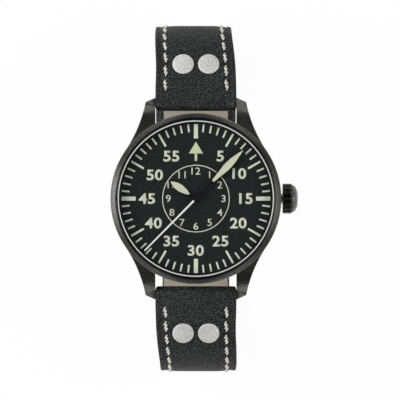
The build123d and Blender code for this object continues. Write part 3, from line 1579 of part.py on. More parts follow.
far_bar_y = pin_y - buckle_length
far_edge_y = far_bar_y - buckle_bar_width / 2
arm_width = buckle_inner_x + buckle_arm
with BuildPart() as buckle_frame:
    with BuildSketch(Plane.YZ.offset(-arm_width)):
        with BuildLine():
            Polyline(
                (far_edge_y, 0),
                (pin_y - buckle_eye_diameter / 2, 0),
                (pin_y + buckle_eye_diameter / 2, short_z - buckle_eye_diameter / 2),
                (pin_y + buckle_eye_diameter / 2, short_z),
                (pin_y - buckle_eye_diameter / 2, short_z),
                (far_bar_y + buckle_bar_width, buckle_bar_height),
                (far_edge_y, buckle_bar_height),
                close=True,
            )
        make_face()
        with Locations((pin_y, short_z)):
            Circle(buckle_eye_diameter / 2)
    extrude(amount=2 * arm_width)
    with BuildSketch(Plane.XY):
        with Locations((0, (far_bar_y + buckle_bar_width / 2 + pin_y + buckle_eye_diameter) / 2)):
            Rectangle(2 * buckle_inner_x, pin_y + buckle_eye_diameter - far_bar_y - buckle_bar_width / 2)
    extrude(amount=2 * short_z, mode=Mode.SUBTRACT)
    with BuildSketch(Plane.XY):
        with Locations((0, far_edge_y + notch_end_wall + buckle_bar_width)):
            Rectangle(tongue_width + 2 * side_clearance, 2 * buckle_bar_width)
    extrude(amount=notch_depth, mode=Mode.SUBTRACT)
    with BuildSketch(Plane.YZ.offset(-arm_width + buckle_eye_wall)):
        with Locations((pin_y, short_z)):
            Circle(pin_plunger_diameter / 2 + running_clearance)
    extrude(amount=2 * (arm_width - buckle_eye_wall), mode=Mode.SUBTRACT)
    fillet(buckle_frame.edges().filter_by(Axis.Z).sort_by(Axis.Y)[0:2], buckle_corner)
finish(buckle_frame, "buckle_frame")

with BuildPart() as buckle_tongue:
    with BuildSketch(Plane.YZ.offset(-tongue_eye_width / 2)):
        with Locations((pin_y, short_z)):
            Circle(tongue_eye_diameter / 2)
    extrude(amount=tongue_eye_width)
    with BuildSketch(Plane.YZ.offset(-tongue_width / 2)):
        with BuildLine():
            half = tongue_thickness / 2
            tongue_end_y = far_edge_y + notch_end_wall + side_clearance
            tongue_bend_y = pin_y - tongue_bend_reach
            Polyline(
                (pin_y, short_z - tongue_eye_diameter / 2),
                (tongue_bend_y, tongue_rest_height - half + tongue_bend_rise),
                (tongue_end_y, tongue_rest_height - half),
                (tongue_end_y, tongue_rest_height + half),
                (tongue_bend_y - half, tongue_rest_height + half + tongue_bend_rise),
                (pin_y - tongue_eye_diameter / 2, short_z),
                (pin_y, short_z),
                close=True,
            )
        make_face()
    extrude(amount=tongue_width)
    with BuildSketch(Plane.YZ.offset(-tongue_eye_width)):
        with Locations((pin_y, short_z)):
            Circle(pin_diameter / 2 + running_clearance)
    extrude(amount=2 * tongue_eye_width, mode=Mode.SUBTRACT)
finish(buckle_tongue, "buckle_tongue")
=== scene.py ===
"""Dresses the pilot watch: its dial print, lume, leather strap, stitching, rivets and finishes."""

import json
from math import asin, ceil, cos, degrees, exp, pi, radians, sin, sqrt

import bmesh
import bpy
from mathutils import Matrix, Vector


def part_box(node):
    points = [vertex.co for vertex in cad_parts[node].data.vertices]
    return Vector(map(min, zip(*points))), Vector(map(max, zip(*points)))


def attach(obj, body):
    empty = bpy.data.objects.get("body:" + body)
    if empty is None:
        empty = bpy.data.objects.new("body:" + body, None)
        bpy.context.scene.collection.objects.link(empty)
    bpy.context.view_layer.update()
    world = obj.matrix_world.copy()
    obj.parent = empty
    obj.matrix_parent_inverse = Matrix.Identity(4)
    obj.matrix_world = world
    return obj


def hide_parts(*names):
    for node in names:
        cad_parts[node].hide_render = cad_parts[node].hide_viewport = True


bl_info = {
    "name": "Pilot watch",
    "version": (1, 0, 0),
    "blender": (4, 5, 0),
    "location": "View3D > Sidebar > Watch",
    "description": "Dresses a pilot watch with its dial print, strap, stitching and finishes",
    "category": "Object",
}

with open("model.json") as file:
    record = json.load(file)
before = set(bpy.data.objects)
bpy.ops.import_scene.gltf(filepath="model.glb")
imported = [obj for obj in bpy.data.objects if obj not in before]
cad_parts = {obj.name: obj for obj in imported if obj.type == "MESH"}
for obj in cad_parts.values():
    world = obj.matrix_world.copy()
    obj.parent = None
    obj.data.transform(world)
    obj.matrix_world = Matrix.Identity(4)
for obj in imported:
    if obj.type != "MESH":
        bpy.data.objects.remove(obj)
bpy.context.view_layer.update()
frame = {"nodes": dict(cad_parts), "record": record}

MM = 0.001

# Where the case and the strap stand, in millimetres, as in the part's source

bar_y = 23.0
bar_z = 37.4944
pin_y = 2.0
short_z = 5.05
tail_z = 2.55
far_tail_z = 3.55
lead_angle = 8.0
shoulder_radius = 14.8
base_radius = 17.0
dip_radius = 25.0
extreme_y = 41.35
base_y = 24.35
dip_start_y = -9.0
tail_rise = 4.33
tip_length = 9.0
buckle_width = 16.0
taper_length = 70.0
padded_thickness = 4.0
plain_thickness = 2.2
eye_thickness = 2.8
swell_length = 4.0
padding_length = 45.0
lining_thickness = 0.8
fixed_keeper_y = 20.8
free_keeper_y = 9.0
keeper_width = 5.0
keeper_thickness = 1.3
rivet_y = 33.2
rivet_spacing = 6.3
rivet_sink = 0.15
rivet_route_length = 4.6
tongue_hole_y = 0.8
spare_hole_steps = (-2, -1, 1, 2, 3)
spare_hole_pitch = 6.5

# How the dressed strap is shaped, in millimetres, and the share of its padding that falls at the edge

lug_width = 19.98
taper_start = 3.5
lining_inset = 0.35
strap_lean = 0.6
leather_corner = 0.4
edge_fall = 0.08
padding_fall_share = 0.12
padding_run = 3.4
crease_depth = 0.15
crease_spread = 0.24
row_depth = 0.1
row_spread = 0.5
keeper_inner_half = 8.695

# Places that follow from these sizes

lead = radians(lead_angle)
lead_run = (extreme_y - bar_y - shoulder_radius * (1 - sin(lead))) / cos(lead)
tuck_z = short_z + plain_thickness / 2 - lining_thickness
dial_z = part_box("dial")[1].z / MM
crown_z = (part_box("crown")[0].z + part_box("crown")[1].z) / 2 / MM

# The dial's print and the rings round it, in millimetres, and the hands' angles, in degrees
# clockwise from 12

minute_tick_inner = 16.4
hour_tick_inner = 14.8
quarter_tick_outer = 18.3
hour_tick_width = 0.5
quarter_tick_width = 1.0
triangle_outline = [
    (-1.75, 11.1), (-0.3, 11.1), (-0.3, 9.3), (0.3, 9.3), (0.3, 11.1), (1.75, 11.1), (0, 14.0),
]
circle_inner = 8.1
circle_outer = 8.29
# Inside this radius the bezel's coat is made darker
bezel_dark_radius = 19.82
seal_shade_radius = 19.0
minute_numeral_reach = 12.05
minute_numeral_shifts = {10: 0.28, 15: 0.26, 30: 0.7, 50: -0.4}
hour_numeral_reach = 6.78
hour_hand_angle = 304.0
minute_hand_angle = 44.2
seconds_hand_angle = 224.6

# The picture's width and the watch's shift in it, in pixels, its pixels to a millimetre, and the
# height in millimetres that these hold for

picture_width = 400
picture_shift_x = 4.1
picture_shift_y = -1.4
pixels_per_mm = 4.07
face_z = 44.5


# Settings that a user may change


def colour(name, description, value):
    """A colour setting."""
    return bpy.props.FloatVectorProperty(
        name=name, description=description, subtype="COLOR", size=4, min=0, max=1, default=(*value, 1),
    )


def amount(name, description, value, low, high, **kind):
    """A number setting with its unit or subtype."""
    return bpy.props.FloatProperty(
        name=name, description=description, default=value, min=low, max=high, **kind,
    )


def length(name, description, value, low, high):
    """A length setting, in metres."""
    return amount(name, description, value, low, high, unit="LENGTH")


class WatchCaseSettings(bpy.types.PropertyGroup):
    """Finishes of the metal parts."""

    coat_colour: colour("Coat colour", "Colour of the blasted coat on the case", (0.135, 0.134, 0.129))
    coat_roughness: amount("Coat roughness", "How matte the blasted coat is", 0.3, 0, 1, subtype="FACTOR")
    rivet_colour: colour("Rivet colour", "Colour of the satin rivets", (0.65, 0.65, 0.625))


class WatchDialSettings(bpy.types.PropertyGroup):
    """Sizes and colours of the dial's print and of the hands."""

    dial_colour: colour("Dial colour", "Colour of the matte dial", (0.0075, 0.0082, 0.0084))
    lume_colour: colour("Lume colour", "Colour of the luminous triangle", (0.65, 0.71, 0.45))
    hand_lume_colour: colour("Hand lume colour", "Colour of the lume in the hands", (0.7, 0.725, 0.54))
    mark_colour: colour("Mark colour", "Colour of the printed ticks and numerals", (0.8, 0.83, 0.66))
    hand_colour: colour("Hand colour", "Colour of the hands' rims and hub", (0.004, 0.004, 0.0045))
    print_height: length("Print height", "Thickness of the printed marks", 0.00004, 0.00001, 0.0002)
    tick_width: length("Tick width", "Width of a minute tick", 0.00042, 0.0001, 0.001)
    tick_outer: length("Tick outer radius", "Where the ticks end", 0.0183, 0.015, 0.0187)
    minute_numeral_height: length(
        "Minute numeral height", "Height of the outer numerals", 0.0027, 0.001, 0.004,
    )
    hour_numeral_height: length("Hour numeral height", "Height of the inner numerals", 0.00175, 0.001, 0.003)


class WatchStrapSettings(bpy.types.PropertyGroup):
    """Sizes and colours of the strap, its thread and its keepers."""

    leather_colour: colour("Leather colour", "Colour of the strap's outside", (0.009, 0.0095, 0.0095))
    # The lining's colour is set darker and greyer than its tan in plain light: partly its own colour, partly
    # painted shade.
    lining_colour: colour("Lining colour", "Colour of the strap's inside", (0.31, 0.275, 0.225))
    thread_colour: colour("Thread colour", "Colour of the stitching", (0.8, 0.78, 0.71))
    stitch_pitch: length("Stitch pitch", "Distance from one stitch to the next", 0.00355, 0.002, 0.006)
    stitch_length: length("Stitch length", "Length of the thread that shows", 0.00315, 0.001, 0.005)
    thread_width: length("Thread width", "Thickness of the thread", 0.00093, 0.0003, 0.0015)
    row_inset: length("Row inset", "How far the stitching runs inside the edge", 0.0024, 0.0015, 0.005)
    crease_inset: length(
        "Crease inset", "How far the creased line runs inside the edge", 0.0013, 0.0005, 0.002,
    )


class WatchStageSettings(bpy.types.PropertyGroup):
    """The camera, the floor and the light."""

    camera_distance: length("Camera distance", "Height of the camera over the watch's face", 2.0, 0.2, 5)
    floor_width: length("Floor width", "Width of the pale floor", 4.0, 0.5, 10)
    lamp_power: amount("Lamp power", "Power that each soft lamp takes a share of", 1.5, 0, 50, unit="POWER")


# Shader and geometry nodes


class Signal:
    """A node's output that takes part in sums."""

    def __init__(self, graph, socket):
        self.graph = graph
        self.socket = socket

    def __add__(self, other):
        return self.graph.maths("ADD", self, other)

    def __radd__(self, other):
        return self.graph.maths("ADD", other, self)

    def __sub__(self, other):
        return self.graph.maths("SUBTRACT", self, other)

    def __rsub__(self, other):
        return self.graph.maths("SUBTRACT", other, self)

    def __mul__(self, other):
        return self.graph.maths("MULTIPLY", self, other)

    def __rmul__(self, other):
        return self.graph.maths("MULTIPLY", other, self)

    def __truediv__(self, other):
        return self.graph.maths("DIVIDE", self, other)

    def __gt__(self, other):
        return self.graph.maths("GREATER_THAN", self, other)

    def __lt__(self, other):
        return self.graph.maths("LESS_THAN", self, other)

    def __abs__(self):
        return self.graph.maths("ABSOLUTE", self)


class Graph:
    """Adds nodes to a tree."""

    def __init__(self, tree):
        self.tree = tree

    def node(self, kind, inputs=None, **settings):
        """Adds a node, with its settings first and then the values or links of its sockets."""
        made = self.tree.nodes.new(kind)
        for name, value in settings.items():
            if name == "stops":
                self.set_stops(made.color_ramp, value)
            else:
                setattr(made, name, value)
        for name, value in (inputs or {}).items():
            self.feed(made.inputs[name], value)
        return made

    def feed(self, socket, value):
        """Links a signal to a socket, or sets its value."""
        if isinstance(value, Signal):
            self.tree.links.new(value.socket, socket)
        else:
            socket.default_value = value

    def get(self, output, kind, inputs=None, **settings):
        """Adds a node and returns one of its outputs."""
        return Signal(self, self.node(kind, inputs, **settings).outputs[output])

    def set_stops(self, ramp, stops):
        """Sets a colour ramp's stops from pairs of place and grey."""
        while len(ramp.elements) < len(stops):
            ramp.elements.new(1)
        for element, (place, grey) in zip(ramp.elements, stops):
            element.position = place
            element.color = (grey, grey, grey, 1)

    def maths(self, operation, *values, **settings):
        """One step of a sum on values."""
        return self.get(0, "ShaderNodeMath", dict(enumerate(values)), operation=operation, **settings)

    def vector(self, **parts):
        """A vector from its X, Y and Z."""
        return self.get("Vector", "ShaderNodeCombineXYZ", parts)

    def ramp(self, factor, *stops):
        """A value read off stops."""
        return self.get("Color", "ShaderNodeValToRGB", {"Fac": factor}, stops=stops)

    def mix(self, factor, first, second):
        """A colour between two."""
        return self.get(2, "ShaderNodeMix", {0: factor, 6: first, 7: second}, data_type="RGBA")

    def shades(self, factor, colour, dark, light):
        """A colour between a darker and a lighter one."""
        return self.mix(factor, scaled(colour, dark), scaled(colour, light))

    def noise(self, scale, detail=2.0, roughness=0.5):
        """Soft noise over the object, from 0 to 1."""
        inputs = {"Vector": self.place, "Scale": scale, "Detail": detail, "Roughness": roughness}
        return self.get("Fac", "ShaderNodeTexNoise", inputs)

    def bump(self, height, distance, strength):
        """A normal bent by a height."""
        inputs = {"Height": height, "Distance": distance, "Strength": strength}
        return self.get("Normal", "ShaderNodeBump", inputs)

    def from_axis(self):
        """How far a point lies from the dial's upright axis, in millimetres."""
        inputs = {0: self.place, 1: (1 / MM, 1 / MM, 0)}
        flat = self.get("Vector", "ShaderNodeVectorMath", inputs, operation="MULTIPLY")
        return self.get("Value", "ShaderNodeVectorMath", {0: flat}, operation="LENGTH")

    def dress(self, **inputs):
        """Feeds the surface shader's sockets, named with underscores for spaces."""
        for name, value in inputs.items():
            self.feed(self.shader.inputs[name.replace("_", " ")], value)

    def end(self, kind, shader):
        """Ends a material or a world in a shader."""
        output = self.node(kind)
        self.tree.links.new(shader.outputs[0], output.inputs["Surface"])


def emptied(holder):
    """The graph of a material or a world, with nothing in it."""
    holder.use_nodes = True
    holder.node_tree.nodes.clear()
    return Graph(holder.node_tree)


def material(name):
    """The graph of a new material, with its surface shader and its object coordinates."""
    graph = emptied(bpy.data.materials.new(name))
    graph.shader = graph.node("ShaderNodeBsdfPrincipled")
    graph.end("ShaderNodeOutputMaterial", graph.shader)
    graph.place = graph.get("Object", "ShaderNodeTexCoord")
    return graph


def scaled(colour, share):
    """A colour made darker or lighter."""
    return tuple(min(1, channel * share) for channel in colour[:3]) + (1,)


def crown_coat(settings):
    """The case's coat on the crown, much lighter along the deepest lines of the grooves on its end: a painted
    highlight.
    """
    graph = material("crown_coat")
    groove = graph.get("Fac", "ShaderNodeAttribute", attribute_name="groove")
    grain = graph.noise(3600, 2.0, 0.7)
    # Painted highlight: the coat is made much lighter where the grooves cut deepest.
    groove_highlight = graph.ramp(groove, (0.84, 0.0), (0.94, 1.0))
    graph.dress(
        Base_Color=graph.shades(groove_highlight, settings.coat_colour, 0.55, 5.5),
        Metallic=1.0,
        Roughness=0.24 + 0.1 * (grain - 0.5),
        Normal=graph.bump(grain, 0.00001, 0.4),
    )


def blasted_coat(settings, name="blasted_coat", darker_inside=0.0):
    """Dark coated steel with the fine sparkle of bead blasting, darker inside a radius round the dial's axis
    when one is given.
    """
    graph = material(name)
    grain = graph.noise(3600, 2.0, 0.7)
    fine = graph.noise(9000, 1.0)
    cloud = graph.noise(90, 2.0)
    sparkle = graph.ramp(grain, (0.3, 0.0), (0.72, 1.0))
    coat = graph.shades(sparkle, settings.coat_colour, 0.45, 1.75)
    # Inside the given radius round the dial's axis, the coat's colour falls to 0.22 of its own.
    if darker_inside:
        outside = graph.ramp((graph.from_axis() - darker_inside) * 5, (0.0, 0.0), (1.0, 1.0))
        coat = graph.mix(outside, scaled(settings.coat_colour, 0.22), coat)
    graph.dress(
        Base_Color=coat,
        Metallic=1.0,
        Roughness=settings.coat_roughness + 0.14 * (cloud - 0.5) + 0.1 * (fine - 0.5),
        Normal=graph.bump(grain * 0.7 + fine * 0.3, 0.00003, 0.55),
    )


def dial_matte(settings):
    """Matte black with a fine tooth."""
    graph = material("dial_matte")
    tooth = graph.noise(3400, 2.0, 0.7)
    spread = graph.ramp(tooth, (0.32, 0.0), (0.7, 1.0))
    graph.dress(
        Base_Color=graph.shades(spread, settings.dial_colour, 0.1, 2.8),
        Roughness=0.6 + 0.1 * (graph.noise(160, 1.0) - 0.5),
        Specular_IOR_Level=0.18,
        Normal=graph.bump(tooth, 0.00002, 0.3),
    )


def speckled(
    name, colour, scale=4200, shades=(0.88, 1.1), roughness=(0.6, 0.1), bump=(0.00001, 0.4), detail=2.0,
):
    """Paint, rubber or ruby with a fine grain that moves its colour, roughness and normal."""
    graph = material(name)
    grain = graph.noise(scale, detail)
    graph.dress(
        Base_Color=graph.shades(grain, colour, *shades),
        Roughness=roughness[0] + roughness[1] * grain,
        Normal=graph.bump(grain, *bump),
    )


def seconds_paint(settings):
    """The seconds hand: pale from the hub to its point, black at the hub and the tail."""
    graph = material("seconds_paint")
    angle = radians(90 - seconds_hand_angle)
    along, beside = (
        graph.get("Value", "ShaderNodeVectorMath", {0: graph.place, 1: (x, y, 0)}, operation="DOT_PRODUCT")
        for x, y in ((cos(angle), sin(angle)), (-sin(angle), cos(angle)))
    )
    white = (along > 0.75 * MM) * (abs(beside) < 0.27 * MM)
    graph.dress(
        Base_Color=graph.mix(white, settings.hand_colour, (0.95, 0.95, 0.93, 1)),
        Roughness=0.2 + 0.1 * graph.noise(4000, 1.0),
    )


def sapphire():
    """Clear sapphire with no tint, coated so that the dial shows through it."""
    graph = material("sapphire")
    graph.dress(Base_Color=(0.02, 0.022, 0.025, 1), Roughness=0.03 + 0.03 * graph.noise(200, 1.0), Alpha=0.06)


def strap_leather(settings):
    """Black calf with fine pebbled grain that catches the light; its sparse bright specks are painted glints
    in its colour.
    """
    graph = material("strap_leather")
    cells = {"Vector": graph.place, "Scale": 1900}
    pebble = graph.get("Distance", "ShaderNodeTexVoronoi", cells, feature="DISTANCE_TO_EDGE")
    speckle = graph.noise(2900, 3.0, 0.8)
    cloud = graph.noise(110, 2.0)
    domes = graph.ramp(pebble, (0.0, 0.0), (0.26, 1.0))
    # Painted glints: sparse specks made much lighter in the leather's colour.
    glints = graph.ramp(speckle, (0.47, 0.0), (0.68, 1.0))
    graph.dress(
        Base_Color=graph.shades(glints * (0.55 + 0.45 * cloud), settings.leather_colour, 0.15, 12.5),
        Roughness=0.52 + 0.16 * (cloud - 0.5) - 0.14 * (glints - 0.5),
        Specular_IOR_Level=0.22,
        Normal=graph.bump(0.5 * domes + 0.5 * speckle, 0.00014, 0.85),
    )


def lining_leather(settings):
    """Smooth tan calf with a short nap."""
    graph = material("lining_leather")
    nap = graph.noise(2600, 3.0, 0.6)
    graph.dress(
        Base_Color=graph.shades(0.5 * nap + 0.5 * graph.noise(140, 2.0), settings.lining_colour, 0.78, 1.16),
        Roughness=0.68 + 0.1 * (nap - 0.5),
        Specular_IOR_Level=0.3,
        Normal=graph.bump(nap, 0.00003, 0.5),
    )


def waxed_thread(settings):
    """Off-white waxed thread, with its twist."""
    graph = material("waxed_thread")
    fibre = graph.noise(6000, 2.0)
    waves = {"Vector": graph.place, "Scale": 700.0, "Distortion": 0.6}
    twist = graph.get("Fac", "ShaderNodeTexWave", waves, bands_direction="DIAGONAL")
    graph.dress(
        Base_Color=graph.shades(0.6 * twist + 0.4 * fibre, settings.thread_colour, 0.72, 1.08),
        Roughness=0.7 + 0.1 * (fibre - 0.5),
        Normal=graph.bump(0.7 * twist + 0.3 * fibre, 0.00004, 0.5),
    )


def satin_silver(settings):
    """Pale satin metal of the rivets."""
    graph = material("satin_silver")
    brush = graph.noise(3000, 3.0, 0.75)
    cloud = graph.noise(120, 1.0)
    flecks = graph.ramp(0.75 * brush + 0.25 * cloud, (0.34, 0.0), (0.62, 1.0))
    graph.dress(
        Base_Color=graph.shades(flecks, settings.rivet_colour, 0.7, 1.22),
        Metallic=0.35,
        Roughness=0.56 + 0.1 * (cloud - 0.5),
        Normal=graph.bump(brush, 0.00002, 0.5),
    )


def crystal_seal():
    """The pale ring round the crystal, a painted highlight of the crystal's edge, and dark where the bezel
    shades it, a painted shadow.
    """
    graph = material("crystal_seal")
    outside = graph.from_axis() - seal_shade_radius
    cloud = graph.noise(900, 2.0)
    graph.dress(
        # Pale near the crystal as a painted highlight, fading outward to a painted shadow under the bezel.
        Base_Color=graph.ramp(outside * 4, (0.0, 0.9), (0.5, 0.45), (1.0, 0.06)),
        Roughness=0.4 + 0.1 * cloud,
        Normal=graph.bump(cloud, 0.000005, 0.2),
    )


def plain_metal(name, colour, roughness, scale):
    """Machined metal with fine marks."""
    graph = material(name)
    marks = graph.noise(scale, 3.0, 0.6)
    graph.dress(
        Base_Color=graph.shades(marks, colour, 0.86, 1.1),
        Metallic=1.0,
        Roughness=roughness + 0.12 * (graph.noise(300, 1.0) - 0.5),
        Normal=graph.bump(marks, 0.000006, 0.4),
    )


def paint(name):
    """A finished material by its name."""
    return bpy.data.materials[name]


# Meshes


def linked(name, data):
    """A new object in the scene."""
    made = bpy.data.objects.new(name, data)
    bpy.context.scene.collection.objects.link(made)
    return made


def opened(mesh):
    """A mesh opened for editing."""
    whole = bmesh.new()
    whole.from_mesh(mesh)
    return whole


def stored(whole, mesh):
    """Puts an opened mesh back."""
    whole.to_mesh(mesh)
    whole.free()
    return mesh


def mesh_of(points, faces, edges=()):
    """A mesh in metres from millimetres, with its normals outward."""
    mesh = bpy.data.meshes.new("source")
    mesh.from_pydata([tuple(value * MM for value in point) for point in points], edges, faces)
    whole = opened(mesh)
    bmesh.ops.recalc_face_normals(whole, faces=whole.faces)
    return stored(whole, mesh)


def placed(name, mesh, finish, body, slot, *nodes):
    """Makes a finished piece from a mesh already in place, riding on a body in place of CAD nodes."""
    whole = opened(mesh)
    bmesh.ops.remove_doubles(whole, verts=whole.verts, dist=1e-7)
    bmesh.ops.recalc_face_normals(whole, faces=whole.faces)
    stored(whole, mesh)
    mesh.name = name
    made = linked(name, mesh)
    mesh.materials.clear()
    mesh.materials.append(paint(finish))
    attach(made, body)
    if nodes:
        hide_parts(*nodes)
    return made


def smooth(made, angle):
    """Shades smooth, keeping edges sharper than an angle."""
    mesh = made.data
    mesh.polygons.foreach_set("use_smooth", [True] * len(mesh.polygons))
    whole = opened(mesh)
    for edge in whole.edges:
        edge.smooth = len(edge.link_faces) == 2 and edge.calc_face_angle(0) < radians(angle)
    stored(whole, mesh).update()


def swept(rings, closed=False):
    """Points and faces of a skin over rings of equal counts, with its ends capped unless it closes."""
    points = [point for ring in rings for point in ring]
    count = len(rings[0])
    faces = []
    for index in range(len(rings) - (0 if closed else 1)):
        here = index * count
        there = (index + 1) % len(rings) * count
        for step in range(count):
            after = (step + 1) % count
            faces.append((here + step, here + after, there + after, there + step))
    if not closed:
        faces.append(tuple(range(count)))
        faces.append(tuple(reversed(range(len(points) - count, len(points)))))
    return points, faces


def box(low, high):
    """Points and faces of a box."""
    points = [(x, y, z) for x in (low[0], high[0]) for y in (low[1], high[1]) for z in (low[2], high[2])]
    faces = [(0, 1, 3, 2), (4, 6, 7, 5), (0, 4, 5, 1), (2, 3, 7, 6), (0, 2, 6, 4), (1, 5, 7, 3)]
    return points, faces


def rod(start, end, radius, sides=32):
    """Points and faces of a rod between two places."""
    axis = Vector(end) - Vector(start)
    across = axis.orthogonal().normalized() * radius
    turns = [Matrix.Rotation(2 * pi * step / sides, 3, axis) for step in range(sides)]
    return swept([[tuple(Vector(place) + turn @ across) for turn in turns] for place in (start, end)])


def bore(y, z, radius):
    """Points and faces of a rod right across the strap."""
    return rod((-lug_width, y, z), (lug_width, y, z), radius)


def prism(outline, level, thickness):
    """Points and faces of a flat plate with an outline."""
    return swept([[(x, y, z) for x, y in outline] for z in (level, level + thickness)])


def settled(made):
    """The plain mesh that an object's modifiers give; the object itself is removed."""
    graph = bpy.context.evaluated_depsgraph_get()
    graph.update()
    mesh = bpy.data.meshes.new_from_object(made.evaluated_get(graph))
    bpy.data.objects.remove(made)
    return mesh


def carved(mesh, cutters):
    """A mesh with cutters, given as points and faces in millimetres, taken out of it."""
    body = linked("being_cut", mesh)
    tools = [linked("cutter", mesh_of(*cutter)) for cutter in cutters]
    for tool in tools:
        cut = body.modifiers.new("cut", "BOOLEAN")
        cut.operation = "DIFFERENCE"
        cut.solver = "EXACT"
        cut.object = tool
    result = settled(body)
    for tool in tools:
        bpy.data.objects.remove(tool)
    return result


def joined(meshes):
    """One mesh from several."""
    whole = bmesh.new()
    for mesh in meshes:
        whole.from_mesh(mesh)
    return stored(whole, bpy.data.meshes.new("joined"))


def grown(source, tree, inputs):
    """The plain mesh that a geometry tree makes from a source mesh, with its inputs set by name."""
    made = linked("growing", source)
    modifier = made.modifiers.new("grow", "NODES")
    modifier.node_group = tree
    for item in tree.interface.items_tree:
        if item.item_type == "SOCKET" and item.in_out == "INPUT" and item.name in inputs:
            modifier[item.identifier] = inputs[item.name]
    return settled(made)


def new_tree(name, sockets):
    """A geometry tree with a geometry input and output and named inputs."""
    tree = bpy.data.node_groups.new(name, "GeometryNodeTree")
    for side in ("OUTPUT", "INPUT"):
        tree.interface.new_socket("Geometry", in_out=side, socket_type="NodeSocketGeometry")
    for socket_name, kind, value in sockets:
        socket = tree.interface.new_socket(socket_name, in_out="INPUT", socket_type=f"NodeSocket{kind}")
        if value is not None:
            socket.default_value = value
    graph = Graph(tree)
    entry = graph.node("NodeGroupInput")
    names = ["Geometry"] + [socket[0] for socket in sockets]
    return tree, graph, {name: Signal(graph, entry.outputs[name]) for name in names}


def end_tree(graph, geometry, finish):
    """Ends a tree in Realize Instances and Set Material."""
    real = graph.get("Geometry", "GeometryNodeRealizeInstances", {"Geometry": geometry})
    dressed = graph.get("Geometry", "GeometryNodeSetMaterial", {"Geometry": real, "Material": paint(finish)})
    graph.node("NodeGroupOutput", {"Geometry": dressed})


# Strap: its route, its sections and what lies on it


def walk(side_moves, step=0.9):
    """Stations along a strap half: distance, y, z and the heading in degrees below the horizontal."""
    distance, y, z, heading = 0.0, bar_y, bar_z, lead_angle
    stations = [(distance, y, z, heading)]
    for move, turn in side_moves:
        count = max(1, ceil(move / step))
        bend = turn / count
        chord = move / count
        if bend:
            chord *= sin(radians(bend / 2)) / radians(bend / 2)
        for _ in range(count):
            y += chord * cos(radians(heading + bend / 2))
            z -= chord * sin(radians(heading + bend / 2))
            heading += bend
            distance += move / count
            stations.append((distance, y, z, heading))
    return stations


def strap_moves():
    """The moves of the buckle half and of the long half, as length and inward turn."""
    shoulder_turn = 90 - lead_angle
    shoulder = (shoulder_radius * radians(shoulder_turn), shoulder_turn)
    short = [(lead_run, 0), shoulder, (base_radius * pi / 2, 90), (base_y - pin_y, 0)]
    long_radius = bar_z - far_tail_z - shoulder_radius * cos(lead) - lead_run * sin(lead)
    dip_drop = far_tail_z - tail_z
    dip_turn = degrees(asin(sqrt(1 - (1 - dip_drop / 2 / dip_radius) ** 2)))
    dip = dip_radius * radians(dip_turn)
    dip_length = 2 * dip_radius * sin(radians(dip_turn))
    rise_radius = base_radius + short_z - tail_z
    long = [
        (lead_run, 0), shoulder, (long_radius * pi / 2, 90),
        (extreme_y - long_radius + dip_start_y, 0),
        (dip, -dip_turn), (dip, dip_turn),
        (base_y - dip_start_y - dip_length, 0),
        (tail_rise + tip_length, degrees((tail_rise + tip_length) / rise_radius)),
    ]
    return short, long


def thickness_at(distance):
    """Padded beyond the bar and thinner towards the buckle, as in the part's source."""
    if distance < swell_length:
        return eye_thickness + (padded_thickness - eye_thickness) * max(0, distance) / swell_length
    thinned = min(1, (distance - swell_length) / padding_length)
    return padded_thickness + (plain_thickness - padded_thickness) * thinned


def width_at(distance):
    """Tapers evenly from the lugs' tips to the buckle."""
    share = (distance - taper_start) / (taper_length - taper_start)
    return lug_width + (buckle_width - lug_width) * min(1, max(0, share))


def ease(value):
    """A smooth step from 0 to 1."""
    value = min(1, max(0, value))
    return value * value * (3 - 2 * value)


def insets_of(settings):
    """How far the crease and the stitched row run inside the edge, in millimetres."""
    return settings.crease_inset / MM, settings.row_inset / MM


def crown_height(x, half, thickness, insets, depth=1.0):
    """The outer face's height over the middle layer, padded between the stitched rows."""
    crease, row = insets
    drop = padding_fall_share * max(0, thickness - plain_thickness) + edge_fall
    inward = half - abs(x)
    height = thickness / 2 - drop + drop * ease((inward - crease) / padding_run)
    height -= depth * crease_depth * exp(-(((inward - crease) / crease_spread) ** 2))
    height -= depth * row_depth * exp(-(((inward - row) / row_spread) ** 2))
    return height


def mirrored(points):
    """The left side's points (across, out), from the right side's, in the order that carries on."""
    return [(-x, n) for x, n in reversed(points)]


def leather_ring(width, thickness, insets, depth=1.0, lined=1.0):
    """Points (across, out) round one section's leather, with rounded edges, thinner where lined."""
    half = width / 2
    corner = min(leather_corner, half / 3)
    inner = -thickness / 2 + lining_thickness * lined
    right = [(half - 0.2, inner), (half, inner + 0.2)]
    for turn in (0, 22, 45, 67, 90):
        height = crown_height(half - corner, half, thickness, insets, depth)
        right.append((half - corner * (1 - cos(radians(turn))), height - corner * (1 - sin(radians(turn)))))
    steps = [corner + 0.14 * min(1, half / 4.2) * step for step in range(1, 22)]
    steps += [steps[-1] + (half - steps[-1]) * share for share in (0.2, 0.4, 0.6, 0.8)]
    right += [(half - inset, crown_height(half - inset, half, thickness, insets, depth)) for inset in steps]
    return right + [(0, crown_height(0, half, thickness, insets, depth))] + mirrored(right)


def lining_ring(width, thickness):
    """Points (across, out) round the lining of one section."""
    half = width / 2 - lining_inset
    outer = -thickness / 2 + lining_thickness
    inner = -thickness / 2
    corner = 0.22
    right = [(half - corner, inner), (half - corner * 0.3, inner + corner * 0.3)]
    right += [(half, inner + corner), (half, outer)]
    return right + mirrored(right) + [(x * half, inner) for x in (-0.5, 0, 0.5)]


def lean_at(side, distance):
    """How far the worn strap leans sideways, most where it turns down."""
    rise = ease((distance - 7) / 14) * (1 - ease((distance - 34) / 20))
    return -side * strap_lean * rise


def laid(side, station, ring):
    """A section's points set across the strap at a station."""
    distance, y, z, heading = station
    out_y = sin(radians(heading))
    out_z = cos(radians(heading))
    lean = lean_at(side, distance)
    return [(x + lean, side * (y + n * out_y), z + n * out_z) for x, n in ring]


